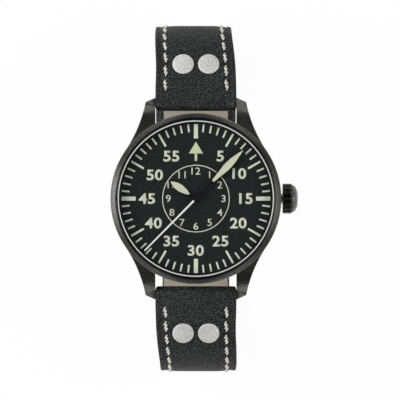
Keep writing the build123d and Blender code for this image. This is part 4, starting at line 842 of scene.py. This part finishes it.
def nose(stations, reach, count=7):
    """Extra stations that round a strap's end over its bar, before the first one."""
    _, y, z, heading = stations[0]
    made = []
    for step in range(count):
        back = reach * sin(radians(90 * (count - step) / count))
        made.append((-back, y - back * cos(radians(heading)), z + back * sin(radians(heading)), heading))
    return made


def tip_share(side, stations, distance):
    """The share of its width that the long half keeps near its rounded tip, or None elsewhere."""
    remaining = stations[-1][0] - distance
    if side > 0 or remaining >= tip_length:
        return None
    return sqrt(max(0.004, 1 - ((tip_length - remaining) / tip_length) ** 2.3))


def strap_skin(side, stations, insets):
    """Rings of one strap half's leather, rounded at the lug and shaped at its end."""
    rings = []
    eye = eye_thickness / 2
    for station in nose(stations, eye) + stations:
        distance = station[0]
        thickness = thickness_at(distance)
        width = width_at(distance)
        share = tip_share(side, stations, distance)
        if distance < 0:
            share = sqrt(max(0.02, 1 - (distance / eye) ** 2))
            ring = leather_ring(width - 1.4 * (1 - share), thickness, insets, 0.0, 0.0)
            ring = [(x, n * share) for x, n in ring]
        elif share is None:
            lined = ease((distance - 2) / (swell_length - 2))
            ring = leather_ring(width, thickness, insets, ease(distance / 3), lined)
        else:
            ring = leather_ring(max(0.9, width * share), thickness, insets, ease(share * 2 - 0.6))
        rings.append(laid(side, station, ring))
    return rings


def lining_skin(side, stations):
    """Rings of one strap half's lining."""
    rings = []
    for station in stations:
        width = width_at(station[0])
        share = tip_share(side, stations, station[0])
        if share is not None:
            width = max(1.6, width * share)
        rings.append(laid(side, station, lining_ring(width, thickness_at(station[0]))))
    return rings


def refine_tip(stations, reach=1.2):
    """Closer stations over the last of the tip, where its outline turns quickly."""
    start = stations[-1][0] - reach
    kept = [station for station in stations if station[0] < start]
    last = [station for station in stations if station[0] >= start]
    fine = []
    for here, there in zip([kept[-1]] + last, last):
        for share in (0.25, 0.5, 0.75, 1.0):
            fine.append(tuple(a + (b - a) * share for a, b in zip(here, there)))
    return kept + fine


def row_points(side, stations, insets, first, last, across, slant=radians(9)):
    """One stitched row on the leather: its points, the lie of its stitches and the way out."""
    points = []
    lies = []
    outs = []
    for distance, y, z, heading in stations:
        if not first <= distance <= last:
            continue
        half = width_at(distance) / 2
        x = across * (half - insets[1])
        n = crown_height(x, half, thickness_at(distance), insets)
        turn = radians(heading)
        points.append((x + lean_at(side, distance), side * (y + n * sin(turn)), z + n * cos(turn)))
        lies.append((-side * sin(slant), side * cos(turn) * cos(slant), -sin(turn) * cos(slant)))
        outs.append((0, side * sin(turn), cos(turn)))
    return points, lies, outs


def stitch_mesh(width, reach, rounds=15, sides=6):
    """One stitch of two twisted strands that arcs over the leather, lying along +Z with +X out."""
    meshes = []
    for strand in (0, pi):
        rings = []
        for step in range(rounds):
            share = step / 7 - 1
            dive = abs(share) ** 5
            turn = strand + share * 1.7 * pi
            out = width * 0.26 * (1 - 0.6 * dive)
            thick = width * 0.26 * (1 - 0.45 * dive)
            middle = Vector((width * -0.56 * dive + out * cos(turn), out * sin(turn), share * reach / 2))
            around = [2 * pi * side / sides for side in range(sides)]
            rings.append([tuple((middle + thick * Vector((cos(a), sin(a), 0))) / MM) for a in around])
        meshes.append(mesh_of(*swept(rings)))
    return joined(meshes)


def stitch_tree():
    """Stitches at an even pitch along the edges of a mesh, lying as its points say."""
    tree, graph, given = new_tree("stitches", [
        ("Pitch", "Float", 0.0033), ("Stitch", "Object", None), ("Lean", "Float", 0.045), ("Seed", "Int", 7),
    ])
    line = graph.get("Curve", "GeometryNodeMeshToCurve", {"Mesh": given["Geometry"]})
    spacing = {"Curve": line, "Length": given["Pitch"]}
    spaced = graph.get("Curve", "GeometryNodeResampleCurve", spacing, mode="LENGTH")
    sewn = graph.get("Geometry", "GeometryNodeObjectInfo", {"Object": given["Stitch"]})
    lie, out = (
        graph.get("Attribute", "GeometryNodeInputNamedAttribute", {"Name": name}, data_type="FLOAT_VECTOR")
        for name in ("lie", "out")
    )
    align = "FunctionNodeAlignRotationToVector"
    along = graph.get("Rotation", align, {"Vector": lie}, axis="Z")
    raised = graph.get("Rotation", align, {"Rotation": along, "Vector": out}, axis="X", pivot_axis="Z")
    ends = {"Min": graph.vector(X=-1 * given["Lean"]), "Max": graph.vector(X=given["Lean"])}
    ends["Seed"] = given["Seed"]
    chance = graph.get("Value", "FunctionNodeRandomValue", ends, data_type="FLOAT_VECTOR")
    turns = {"Rotation": raised, "Rotate By": chance}
    leaning = graph.get("Rotation", "FunctionNodeRotateRotation", turns, rotation_space="LOCAL")
    rows = {"Points": spaced, "Instance": sewn, "Rotation": leaning}
    end_tree(graph, graph.get("Instances", "GeometryNodeInstanceOnPoints", rows), "waxed_thread")
    return tree


def keeper_path(half_width, top, corner, count=5):
    """Points (x, z) round a keeper, with rounded corners, from the standing plane up."""
    right = half_width - corner
    upper = top - corner
    places = []
    for x, z, start in ((right, corner, -90), (right, upper, 0), (-right, upper, 90), (-right, corner, 180)):
        for step in range(count + 1):
            turn = radians(start + 90 * step / count)
            places.append((x + corner * cos(turn), z + corner * sin(turn)))
    return places


def keeper_band(middle_y, top, inner_top):
    """Rings of a soft-edged leather band round the strap."""
    outer = keeper_path(keeper_inner_half + keeper_thickness, top, 1.5)
    inner = keeper_path(keeper_inner_half, inner_top - keeper_thickness, 0.45)
    half = keeper_width / 2
    edge = 0.34
    right = [(half - edge, 0.0), (half - 0.1, 0.08), (half, edge / 1.3), (half, 1 - edge / 1.3)]
    right += [(half - 0.1, 0.93), (half - edge, 1.0), (half - 0.62, 1.0), (half - 0.75, 0.9)]
    right += [(half - 0.88, 1.0)]
    profile = right + [(0, 1.0)] + mirrored(right)
    rings = []
    for (outer_x, outer_z), (inner_x, inner_z) in zip(outer, inner):
        inner_z += keeper_thickness
        rings.append([
            (inner_x + (outer_x - inner_x) * share, middle_y + across, inner_z + (outer_z - inner_z) * share)
            for across, share in profile
        ])
    return rings


# Dial print


def tick_tree():
    """Radial ticks round the dial, skipping every so many."""
    tree, graph, given = new_tree("dial_ticks", [
        ("Count", "Int", 60), ("Skip", "Int", 5), ("Inner", "Float", 0.0164), ("Outer", "Float", 0.0183),
        ("Width", "Float", 0.00042), ("Height", "Float", 0.00004), ("Level", "Float", 0.0),
    ])
    middle = (given["Inner"] + given["Outer"]) * 0.5
    ring = graph.get("Mesh", "GeometryNodeMeshCircle", {"Vertices": given["Count"], "Radius": middle})
    index = graph.get("Index", "GeometryNodeInputIndex")
    kept = graph.maths("MODULO", index, given["Skip"]) > 0.5
    size = graph.vector(X=given["Outer"] - given["Inner"], Y=given["Width"], Z=given["Height"])
    block = graph.get("Mesh", "GeometryNodeMeshCube", {"Size": size})
    turn = graph.vector(Z=index * (2 * pi) / given["Count"])
    rows = {"Points": ring, "Instance": block, "Selection": kept, "Rotation": turn}
    ticks = graph.get("Instances", "GeometryNodeInstanceOnPoints", rows)
    lift = graph.vector(Z=given["Level"] + given["Height"] * 0.5)
    raised = graph.get("Geometry", "GeometryNodeTransform", {"Geometry": ticks, "Translation": lift})
    end_tree(graph, raised, "mark_paint")
    return tree


def numeral(text, height, place, thickness, boldness, stretch):
    """A mesh of one numeral, its middle at a place on the dial, in millimetres."""
    curve = bpy.data.curves.new("numeral", "FONT")
    curve.body = text
    curve.align_x = "CENTER"
    curve.offset = boldness
    curve.resolution_u = 6
    curve.space_character = 1.06
    flat = settled(linked("numeral", curve))
    shape = opened(flat)
    bmesh.ops.remove_doubles(shape, verts=shape.verts, dist=1e-5)
    xs = [vertex.co.x for vertex in shape.verts]
    ys = [vertex.co.y for vertex in shape.verts]
    share = height / (max(ys) - min(ys)) * MM
    middle = Vector(((max(xs) + min(xs)) / 2, (max(ys) + min(ys)) / 2, 0))
    for vertex in shape.verts:
        vertex.co = (vertex.co - middle) * share
        vertex.co.x *= stretch
        vertex.co += Vector((place[0] * MM, place[1] * MM, dial_z * MM))
    lifted = bmesh.ops.extrude_face_region(shape, geom=list(shape.faces))
    for element in lifted["geom"]:
        if isinstance(element, bmesh.types.BMVert):
            element.co.z += thickness * MM
    return stored(shape, flat)


def flat_ring(inner, outer, level, thickness, count=128):
    """Points and faces of a flat ring round the middle."""
    section = [(inner, 0), (outer, 0), (outer, thickness), (inner, thickness)]
    turns = [2 * pi * step / count for step in range(count)]
    rings = [[(reach * cos(turn), reach * sin(turn), level + up) for reach, up in section] for turn in turns]
    return swept(rings, closed=True)


def leaf_points(reach, width, places, rim, start, blunt, tip):
    """The lume of a leaf hand along +X: it fills the open middle and runs out over the rim at its ends."""
    shares = (0.72, 1.0, 0.88, 0.5)
    side = [(reach * place, width / 2 * share - rim) for place, share in zip(places, shares)]
    return [(start, -blunt), (start, blunt)] + side + [(tip, 0)] + [(x, -y) for x, y in reversed(side)]


def turned(points, dial_angle):
    """Points turned to a dial angle, in degrees clockwise from 12."""
    turn = radians(90 - dial_angle)
    return [(x * cos(turn) - y * sin(turn), x * sin(turn) + y * cos(turn)) for x, y in points]


# Operators


class WATCH_OT_finishes(bpy.types.Operator):
    """Makes every material and gives the CAD nodes theirs."""

    bl_idname = "watch.finishes"
    bl_label = "Finishes"

    def execute(self, context):
        case = context.scene.watch_case
        dial = context.scene.watch_dial
        strap = context.scene.watch_strap
        blasted_coat(case)
        blasted_coat(case, "bezel_coat", bezel_dark_radius)
        crown_coat(case)
        crystal_seal()
        satin_silver(case)
        dial_matte(dial)
        speckled("lume_paint", dial.lume_colour)
        speckled("hand_lume_paint", dial.hand_lume_colour)
        speckled("mark_paint", dial.mark_colour)
        speckled("hand_paint", dial.hand_colour, 4000, (0.8, 1.3), (0.1, 0.08), (0.000005, 0.3), 1.0)
        seconds_paint(dial)
        sapphire()
        strap_leather(strap)
        lining_leather(strap)
        waxed_thread(strap)
        plain_metal("plain_steel", (0.5, 0.5, 0.5), 0.32, 2500)
        plain_metal("gilt_brass", (0.7, 0.55, 0.3), 0.34, 2200)
        speckled("seal_rubber", (0.42, 0.42, 0.41), 900, (0.85, 1.12), (0.45, 0.1), (0.000005, 0.2))
        speckled("ruby_bearing", (0.45, 0.02, 0.07), 900, (0.85, 1.12), (0.07, 0.1), (0.000005, 0.2))
        by_slot = {
            "case_black": "blasted_coat", "crystal": "sapphire", "seal": "seal_rubber",
            "dial_black": "dial_matte", "hand_black": "hand_paint", "steel": "plain_steel",
            "rivet_silver": "satin_silver", "plate_brass": "gilt_brass", "ruby": "ruby_bearing",
            "leather_black": "strap_leather", "lining_tan": "lining_leather",
        }
        for part in frame["record"]["subparts"]:
            finish = by_slot[part["material_slot"]]
            if part["node"] == "seconds_hand":
                finish = "seconds_paint"
            for slot in frame["nodes"][part["node"]].material_slots:
                slot.material = paint(finish)
        return {"FINISHED"}


class WATCH_OT_dial_print(bpy.types.Operator):
    """Prints the ticks, numerals, triangle and circle on the dial."""

    bl_idname = "watch.dial_print"
    bl_label = "Dial print"

    def execute(self, context):
        settings = context.scene.watch_dial
        thickness = settings.print_height / MM
        tree = tick_tree()
        minute = (60, 5, minute_tick_inner, settings.tick_width)
        hour = (12, 3, hour_tick_inner, hour_tick_width * MM)
        quarter = (4, 9, hour_tick_inner, quarter_tick_width * MM)
        marks = []
        for count, skip, inner, width in (minute, hour, quarter):
            inputs = {
                "Count": count, "Skip": skip, "Inner": inner * MM, "Outer": settings.tick_outer,
                "Width": width, "Height": settings.print_height, "Level": dial_z * MM,
            }
            marks.append(grown(bpy.data.meshes.new("blank"), tree, inputs))
        # Each row leaves out its first tick; for the quarters that is the one at 3, added here
        inner, outer, half = hour_tick_inner, quarter_tick_outer, quarter_tick_width / 2
        bar = [(inner, -half), (outer, -half), (outer, half), (inner, half)]
        marks.append(mesh_of(*prism(bar, dial_z, thickness)))
        marks.append(mesh_of(*flat_ring(circle_inner, circle_outer, dial_z, thickness)))
        placed("dial_marks", joined(marks), "mark_paint", "head", "hand_black")
        triangle = mesh_of(*prism(triangle_outline, dial_z, thickness))
        placed("dial_triangle", triangle, "lume_paint", "head", "hand_black")
        figures = []
        for minute in range(5, 60, 5):
            reach = minute_numeral_reach + minute_numeral_shifts.get(minute, 0)
            place = turned([(reach, 0)], 6 * minute)[0]
            height = settings.minute_numeral_height / MM
            figures.append(numeral(str(minute), height, place, thickness, boldness=0.028, stretch=1.12))
        for hour in range(1, 13):
            place = turned([(hour_numeral_reach, 0)], 30 * hour)[0]
            height = settings.hour_numeral_height / MM
            figures.append(numeral(str(hour), height, place, thickness, boldness=0.006, stretch=1.1))
        placed("dial_numerals", joined(figures), "mark_paint", "head", "hand_black")
        return {"FINISHED"}


class WATCH_OT_hand_lume(bpy.types.Operator):
    """Fills the leaf hands with lume."""

    bl_idname = "watch.hand_lume"
    bl_label = "Hand lume"

    def execute(self, context):
        # Length, width, places along it, rim, start, half width there and tip, in millimetres
        hour = (7.9, 2.25, (0.38, 0.58, 0.75, 0.89), 0.24, 1.95, 0.14, 7.5)
        minute = (17.3, 2.2, (0.48, 0.63, 0.77, 0.89), 0.24, 6.0, 0.3, 16.6)
        hands = [
            ("hour", "hour_work", hour_hand_angle, hour),
            ("minute", "minute_arbor", minute_hand_angle, minute),
        ]
        for name, body, angle, sizes in hands:
            low, high = (corner.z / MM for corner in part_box(f"{name}_hand"))
            mesh = mesh_of(*prism(turned(leaf_points(*sizes), angle), low + 0.03, high - low - 0.01))
            placed(f"{name}_lume", mesh, "hand_lume_paint", body, "hand_black")
        return {"FINISHED"}


class WATCH_OT_strap_leather(bpy.types.Operator):
    """Makes the two halves of the strap, leather outside and lining inside."""

    bl_idname = "watch.strap_leather"
    bl_label = "Strap"

    def execute(self, context):
        insets = insets_of(context.scene.watch_strap)
        short, long = (walk(moves) for moves in strap_moves())
        long = refine_tip(long)
        rings = strap_skin(1, short, insets)
        distance, y, z, heading = short[-1]
        for turn in (radians(30), radians(60), radians(85)):
            extra = 1.3 * sin(turn)
            ring = leather_ring(buckle_width, plain_thickness, insets, 0.5)
            ring = [(x, max(-1.1, n) * cos(turn)) for x, n in ring]
            rings.append(laid(1, (distance + extra, y - extra, z, heading), ring))
        slot = box((-1.5, pin_y - 2.2, short_z - 3), (1.5, pin_y + 1.6, short_z + 3))
        tuck = box(
            (-lug_width, fixed_keeper_y - 2.52, tuck_z - 0.52),
            (lug_width, fixed_keeper_y + 2.52, tuck_z + 0.02),
        )
        cuts = [bore(bar_y, bar_z, 0.8), bore(pin_y, short_z, 0.65), slot, tuck]
        self.leather("buckle_half_leather", rings, cuts, "short_leather")
        self.lining("buckle_half_lining", 1, short[:-2], [], "short_lining")
        holes = [self.tongue_slot()]
        for step in spare_hole_steps:
            hole_y = tongue_hole_y + spare_hole_pitch * step
            holes.append(rod((0, hole_y, tail_z - 4), (0, hole_y, tail_z + 4), 1.0))
        rings = strap_skin(-1, long, insets)
        self.leather("long_half_leather", rings, [bore(-bar_y, bar_z, 0.8)] + holes, "long_leather")
        self.lining("long_half_lining", -1, long, holes, "long_lining")
        return {"FINISHED"}

    def leather(self, name, rings, cuts, node):
        """Makes one half's leather."""
        mesh = carved(mesh_of(*swept(rings)), cuts)
        smooth(placed(name, mesh, "strap_leather", "head", "leather_black", node), 50)

    def lining(self, name, side, stations, cuts, node):
        """Makes one half's lining, from where the strap has swelled."""
        lined = [station for station in stations if station[0] > swell_length]
        mesh = carved(mesh_of(*swept(lining_skin(side, lined))), cuts)
        smooth(placed(name, mesh, "lining_leather", "head", "lining_tan", node), 50)

    def tongue_slot(self, radius=1.2, half_run=1.1):
        """The slot that the tongue goes through, as a cutter."""
        outline = []
        for middle, start in ((half_run, 0), (-half_run, 180)):
            for step in range(13):
                turn = radians(start + 180 * step / 12)
                outline.append((radius * cos(turn), tongue_hole_y + middle + radius * sin(turn)))
        return prism(outline, tail_z - 4, 8)


class WATCH_OT_stitching(bpy.types.Operator):
    """Sews both rows of both strap halves."""

    bl_idname = "watch.stitching"
    bl_label = "Stitching"

    def execute(self, context):
        settings = context.scene.watch_strap
        short, long = (walk(moves) for moves in strap_moves())
        points, lies, outs, edges = [], [], [], []
        for side, stations, unsewn in ((1, short, 9.0), (-1, long, 11.5)):
            last = stations[-1][0] - unsewn
            for across in (-1, 1):
                row = row_points(side, stations, insets_of(settings), 4.4, last, across)
                start = len(points)
                for whole, added in zip((points, lies, outs), row):
                    whole += added
                edges += [(start + step, start + step + 1) for step in range(len(row[0]) - 1)]
        source = mesh_of(points, [], edges)
        for name, values in (("lie", lies), ("out", outs)):
            attribute = source.attributes.new(name, "FLOAT_VECTOR", "POINT")
            attribute.data.foreach_set("vector", [number for value in values for number in value])
        single = linked("single_stitch", stitch_mesh(settings.thread_width, settings.stitch_length))
        sewn = grown(source, stitch_tree(), {"Pitch": settings.stitch_pitch, "Stitch": single})
        bpy.data.objects.remove(single)
        smooth(placed("stitching", sewn, "waxed_thread", "head", "lining_tan"), 80)
        return {"FINISHED"}


class WATCH_OT_rivets(bpy.types.Operator):
    """Sets the four domed rivets through the strap."""

    bl_idname = "watch.rivets"
    bl_label = "Rivets"

    def execute(self, context):
        middle_y = bar_y + lead_run * cos(lead) - shoulder_radius * sin(lead)
        middle_z = bar_z - lead_run * sin(lead) - shoulder_radius * cos(lead)
        thickness = thickness_at(lead_run + rivet_route_length)
        heading = asin((rivet_y - middle_y) / (shoulder_radius + thickness / 2))
        seat = shoulder_radius + thickness / 2 - rivet_sink
        meshes = []
        for side in (1, -1):
            for across in (-1, 1):
                x = across * rivet_spacing / 2
                origin = Vector((x, side * (middle_y + seat * sin(heading)), middle_z + seat * cos(heading)))
                outward = Vector((0, side * sin(heading), cos(heading)))
                meshes.append(mesh_of(*self.rivet(origin, outward, thickness)))
        made = placed("domed_rivets", joined(meshes), "satin_silver", "head", "rivet_silver", "strap_rivets")
        smooth(made, 35)
        return {"FINISHED"}

    def rivet(self, origin, outward, thickness, count=40):
        """Points and faces of one rivet: cap, shank and domed head."""
        deep = rivet_sink - thickness
        profile = [(0.0, deep - 0.4), (1.75, deep - 0.4), (2.0, deep - 0.25), (2.0, deep), (0.9, deep + 0.02)]
        profile += [(0.9, -0.02), (2.45, 0.0), (2.62, 0.08), (2.62, 0.2), (2.56, 0.27), (2.4, 0.32)]
        profile += [(2.0, 0.37), (1.4, 0.42), (0.8, 0.45), (0.3, 0.47), (0.0, 0.475)]
        across = Vector((1, 0, 0))
        beside = outward.cross(across)
        points = []
        faces = []
        size = len(profile)
        for index in range(count):
            turn = 2 * pi * index / count
            out = across * cos(turn) + beside * sin(turn)
            points += [tuple(origin + out * reach + outward * up) for reach, up in profile]
            here = index * size
            there = (index + 1) % count * size
            for step in range(size - 1):
                faces.append((here + step, here + step + 1, there + step + 1, there + step))
        return points, faces


class WATCH_OT_keepers(bpy.types.Operator):
    """Makes the sewn keeper and the sliding one as soft-edged bands."""

    bl_idname = "watch.keepers"
    bl_label = "Keepers"

    def execute(self, context):
        inner_top = short_z + plain_thickness / 2 + 0.15
        sewn = (fixed_keeper_y, tuck_z, tuck_z - 0.5)
        sliding = (free_keeper_y, inner_top + keeper_thickness, inner_top)
        bands = [
            ("sewn_keeper", "head", "fixed_keeper", sewn),
            ("sliding_keeper", "keeper", "free_keeper", sliding),
        ]
        for name, body, node, sizes in bands:
            mesh = mesh_of(*swept(keeper_band(*sizes), closed=True))
            smooth(placed(name, mesh, "strap_leather", body, "leather_black", node), 50)
        return {"FINISHED"}


class WATCH_OT_crown(bpy.types.Operator):
    """Cuts the crown's round flutes and the crossed facets on its dome."""

    bl_idname = "watch.crown"
    bl_label = "Crown"

    start_x = 21.3
    dome_x = 23.56
    end_x = 25.05
    radius = 3.675
    dome_radius = 3.5
    dome_depth = 1.66
    dome_turn = 64
    dome_rings = 18
    flute_count = 16
    flute_depth = 0.5
    groove_count = 12
    groove_depth = 0.2
    groove_slide = 5.2

    def execute(self, context):
        bore_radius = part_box("crown_tube")[1].y / MM + 0.05
        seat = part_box("crown_gasket")[1].x / MM
        barrel_x = self.start_x + 0.25
        rows = [(seat, 0.05, 0, 0), (seat, bore_radius, 0, 0), (self.start_x, bore_radius, 0, 0)]
        rows += [(self.start_x, 3.3, 0, 0), (self.start_x + 0.03, 3.45, 0.2, 0)]
        rows += [(self.start_x + 0.12, 3.6, 0.6, 0)]
        rows += [(barrel_x + 0.2 * step, self.radius, 1, 0) for step in range(10)]
        rows += [(self.dome_x - 0.14, 3.66, 0.8, 0), (self.dome_x - 0.06, 3.6, 0.4, 0)]
        rows += [(self.dome_x, 3.54, 0.1, 0)]
        for step in range(1, self.dome_rings + 1):
            turn = radians(self.dome_turn * step / self.dome_rings)
            crossed = 1 if step < self.dome_rings else 0.3
            rows.append((self.dome_x + self.dome_depth * sin(turn), self.dome_radius * cos(turn), 0, crossed))
        rows += [(self.end_x, radius, 0, 0) for radius in (1.42, 0.7, 0.05)]
        rings = []
        cuts = []
        for row in rows:
            ring, grooves = self.ring(*row)
            rings.append(ring)
            cuts += grooves
        mesh = mesh_of(*swept(rings))
        made = placed("fluted_crown", mesh, "crown_coat", "crown_and_stem", "case_black", "crown")
        # Each point's groove depth, which also places the crown's painted highlight.
        groove_highlight = made.data.attributes.new("groove", "FLOAT", "POINT")
        groove_highlight.data.foreach_set("value", cuts[: len(made.data.vertices)])
        smooth(made, 28)
        return {"FINISHED"}

    def ring(self, x, radius, fluted, crossed, count=192):
        """Points round the crown's axis, drawn in by flutes or crossed grooves, and each one's groove."""
        points = []
        cuts = []
        slide = (x - self.dome_x) * self.groove_slide
        for step in range(count):
            turn = 2 * pi * step / count
            reach = radius - fluted * self.flute_depth * (0.5 - 0.5 * cos(self.flute_count * turn)) ** 2.2
            groove = 0.0
            if crossed:
                around = turn * self.groove_count / pi
                groove = max(abs((around + slide) % 2 - 1), abs((around - slide) % 2 - 1))
                reach -= crossed * self.groove_depth * groove
            points.append((x, reach * cos(turn), crown_z + reach * sin(turn)))
            cuts.append(groove)
        return points, cuts


class WATCH_OT_soft_edges(bpy.types.Operator):
    """Breaks the sharp edges of the case, bezel, crystal, buckle and hands."""

    bl_idname = "watch.soft_edges"
    bl_label = "Soft edges"

    def execute(self, context):
        parts = [
            ("mid_case", "head", "blasted_coat", "case_black", 0.1),
            ("bezel", "head", "bezel_coat", "case_black", 0.06),
            ("crystal_gasket", "head", "crystal_seal", "seal", 0.03),
            ("crystal", "head", "sapphire", "crystal", 0.05),
            ("hour_hand", "hour_work", "hand_paint", "hand_black", 0.06),
            ("minute_hand", "minute_arbor", "hand_paint", "hand_black", 0.06),
            ("buckle_frame", "buckle", "blasted_coat", "case_black", 0.25),
            ("buckle_tongue", "tongue", "blasted_coat", "case_black", 0.2),
        ]
        for node, body, finish, slot, width in parts:
            made = placed(f"soft_{node}", self.bevelled(node, width), finish, body, slot, node)
            smooth(made, 18)
        return {"FINISHED"}

    def bevelled(self, node, width):
        """A copy of a node's mesh with its edges bevelled."""
        mesh = frame["nodes"][node].data.copy()
        whole = opened(mesh)
        bmesh.ops.remove_doubles(whole, verts=whole.verts, dist=2e-6)
        bmesh.ops.dissolve_limit(whole, angle_limit=radians(0.6), verts=whole.verts, edges=whole.edges)
        holder = linked("softening", stored(whole, mesh))
        bevel = holder.modifiers.new("soft", "BEVEL")
        bevel.width = width * MM
        bevel.segments = 2
        bevel.limit_method = "ANGLE"
        bevel.angle_limit = radians(24)
        return settled(holder)


class WATCH_OT_stage(bpy.types.Operator):
    """Sets the floor, the world, the lamps and the camera."""

    bl_idname = "watch.stage"
    bl_label = "Stage"

    def execute(self, context):
        settings = context.scene.watch_stage
        self.floor(settings)
        self.world(context)
        self.lamps(settings)
        self.camera(context, settings)
        context.scene.view_settings.view_transform = "Standard"
        return {"FINISHED"}

    def shown(self, graph):
        """1 for rays that show the background: camera, glossy and transmission."""
        names = ("Is Camera Ray", "Is Glossy Ray", "Is Transmission Ray")
        camera, glossy, through = (graph.get(name, "ShaderNodeLightPath") for name in names)
        return graph.maths("ADD", camera + glossy, through, use_clamp=True)

    def floor(self, settings):
        """A plain pale floor that keeps a soft shadow."""
        half = settings.floor_width / 2
        mesh = bpy.data.meshes.new("floor")
        corners = [(-half, -half, 0), (half, -half, 0), (half, half, 0), (-half, half, 0)]
        mesh.from_pydata(corners, [], [(0, 1, 2, 3)])
        pale = bpy.data.materials.new("pale_floor")
        graph = emptied(pale)
        diffuse = graph.get("BSDF", "ShaderNodeBsdfDiffuse", {"Color": (0.96, 0.96, 0.96, 1)})
        glow = graph.get("Emission", "ShaderNodeEmission", {"Color": (1, 1, 1, 1), "Strength": 1.0})
        mixed = graph.node("ShaderNodeMixShader", {0: self.shown(graph) * 0.955, 1: diffuse, 2: glow})
        graph.end("ShaderNodeOutputMaterial", mixed)
        mesh.materials.append(pale)
        made = linked("floor", mesh)

    def world(self, context):
        """A soft tent of six panels, bright round the sides and dimmer overhead, at the camera."""
        context.scene.world = bpy.data.worlds.new("tent")
        graph = emptied(context.scene.world)
        direction = graph.get("Generated", "ShaderNodeTexCoord")
        across, along, height = (
            graph.get(axis, "ShaderNodeSeparateXYZ", {"Vector": direction}) for axis in "XYZ"
        )
        front = graph.ramp(height, (0.1, 0.9), (0.3, 0.45), (0.5, 0.13), (1.0, 0.1))
        low = 0.24 + 0.9 * graph.ramp(-1 * across, (0.5, 0.0), (0.85, 0.1), (0.96, 1.0))
        side = low + (1.7 - low) * graph.ramp(height, (0.38, 0.0), (0.58, 1.0))
        level = front + (side - front) * graph.ramp(abs(across), (0.25, 0.0), (0.6, 1.0))
        turns = graph.maths("COSINE", 6 * graph.maths("ARCTAN2", across, along))
        level = level * (1.2 - 1.15 * graph.ramp(turns, (0.0, 0.0), (0.75, 1.0)))
        level = level + (0.1 - level) * graph.ramp(height, (0.8, 0.0), (0.93, 1.0))
        strength = level + (1 - level) * graph.get("Is Camera Ray", "ShaderNodeLightPath")
        background = graph.node("ShaderNodeBackground", {"Color": (1, 1, 1, 1), "Strength": strength})
        graph.end("ShaderNodeOutputWorld", background)

    def lamps(self, settings):
        """Three wide soft lamps, two on the left and one on the right: place, size and share of the power."""
        target = Vector((0, 0, 0.03))
        places = [(-0.5, 0.12, 0.5, 0.4, 1.3), (0.5, -0.05, 0.5, 0.45, 0.9), (-0.5, 0.0, 0.42, 0.4, 0.6)]
        for index, (x, y, z, size, share) in enumerate(places):
            lamp = bpy.data.lights.new(f"soft_{index}", "AREA")
            lamp.shape = "DISK"
            lamp.size = size
            lamp.energy = settings.lamp_power * share
            made = linked(lamp.name, lamp)
            made.location = (x, y, z)
            made.rotation_euler = (target - made.location).to_track_quat("-Z", "Y").to_euler()

    def camera(self, context, settings):
        """Looks straight down on the dial."""
        camera = bpy.data.cameras.new("camera")
        camera.sensor_width = 36
        camera.lens = camera.sensor_width * settings.camera_distance / (picture_width / pixels_per_mm * MM)
        camera.shift_x = picture_shift_x / picture_width
        camera.shift_y = picture_shift_y / picture_width
        camera.clip_start = 0.01
        made = linked("camera", camera)
        made.location = (0, 0, face_z * MM + settings.camera_distance)
        context.scene.camera = made


class WATCH_PT_pieces(bpy.types.Panel):
    """Lists the steps of the watch."""

    bl_idname = "WATCH_PT_pieces"
    bl_label = "Pilot watch"
    bl_space_type = "VIEW_3D"
    bl_region_type = "UI"
    bl_category = "Watch"

    def draw(self, context):
        for operator in operators:
            self.layout.operator(operator.bl_idname)
        for name in groups:
            group = getattr(context.scene, name)
            for field in group.bl_rna.properties.keys():
                if field not in ("rna_type", "name"):
                    self.layout.prop(group, field)


operators = [
    WATCH_OT_finishes, WATCH_OT_stage, WATCH_OT_dial_print, WATCH_OT_hand_lume, WATCH_OT_strap_leather,
    WATCH_OT_stitching, WATCH_OT_rivets, WATCH_OT_keepers, WATCH_OT_crown, WATCH_OT_soft_edges,
]
groups = {
    "watch_case": WatchCaseSettings, "watch_dial": WatchDialSettings,
    "watch_strap": WatchStrapSettings, "watch_stage": WatchStageSettings,
}
classes = [*groups.values(), *operators, WATCH_PT_pieces]


def register():
    """Registers every class and hangs the settings on the scene."""
    for made in classes:
        bpy.utils.register_class(made)
    for name, group in groups.items():
        setattr(bpy.types.Scene, name, bpy.props.PointerProperty(type=group))


def unregister():
    """Takes the settings off the scene and unregisters every class."""
    for name in reversed(groups):
        delattr(bpy.types.Scene, name)
    for made in reversed(classes):
        bpy.utils.unregister_class(made)


def main():
    """Runs every step in order."""
    register()
    bpy.ops.watch.finishes()
    bpy.ops.watch.stage()
    bpy.ops.watch.dial_print()
    bpy.ops.watch.hand_lume()
    bpy.ops.watch.strap_leather()
    bpy.ops.watch.stitching()
    bpy.ops.watch.rivets()
    bpy.ops.watch.keepers()
    bpy.ops.watch.crown()
    bpy.ops.watch.soft_edges()


if __name__ == "__main__":
    main()
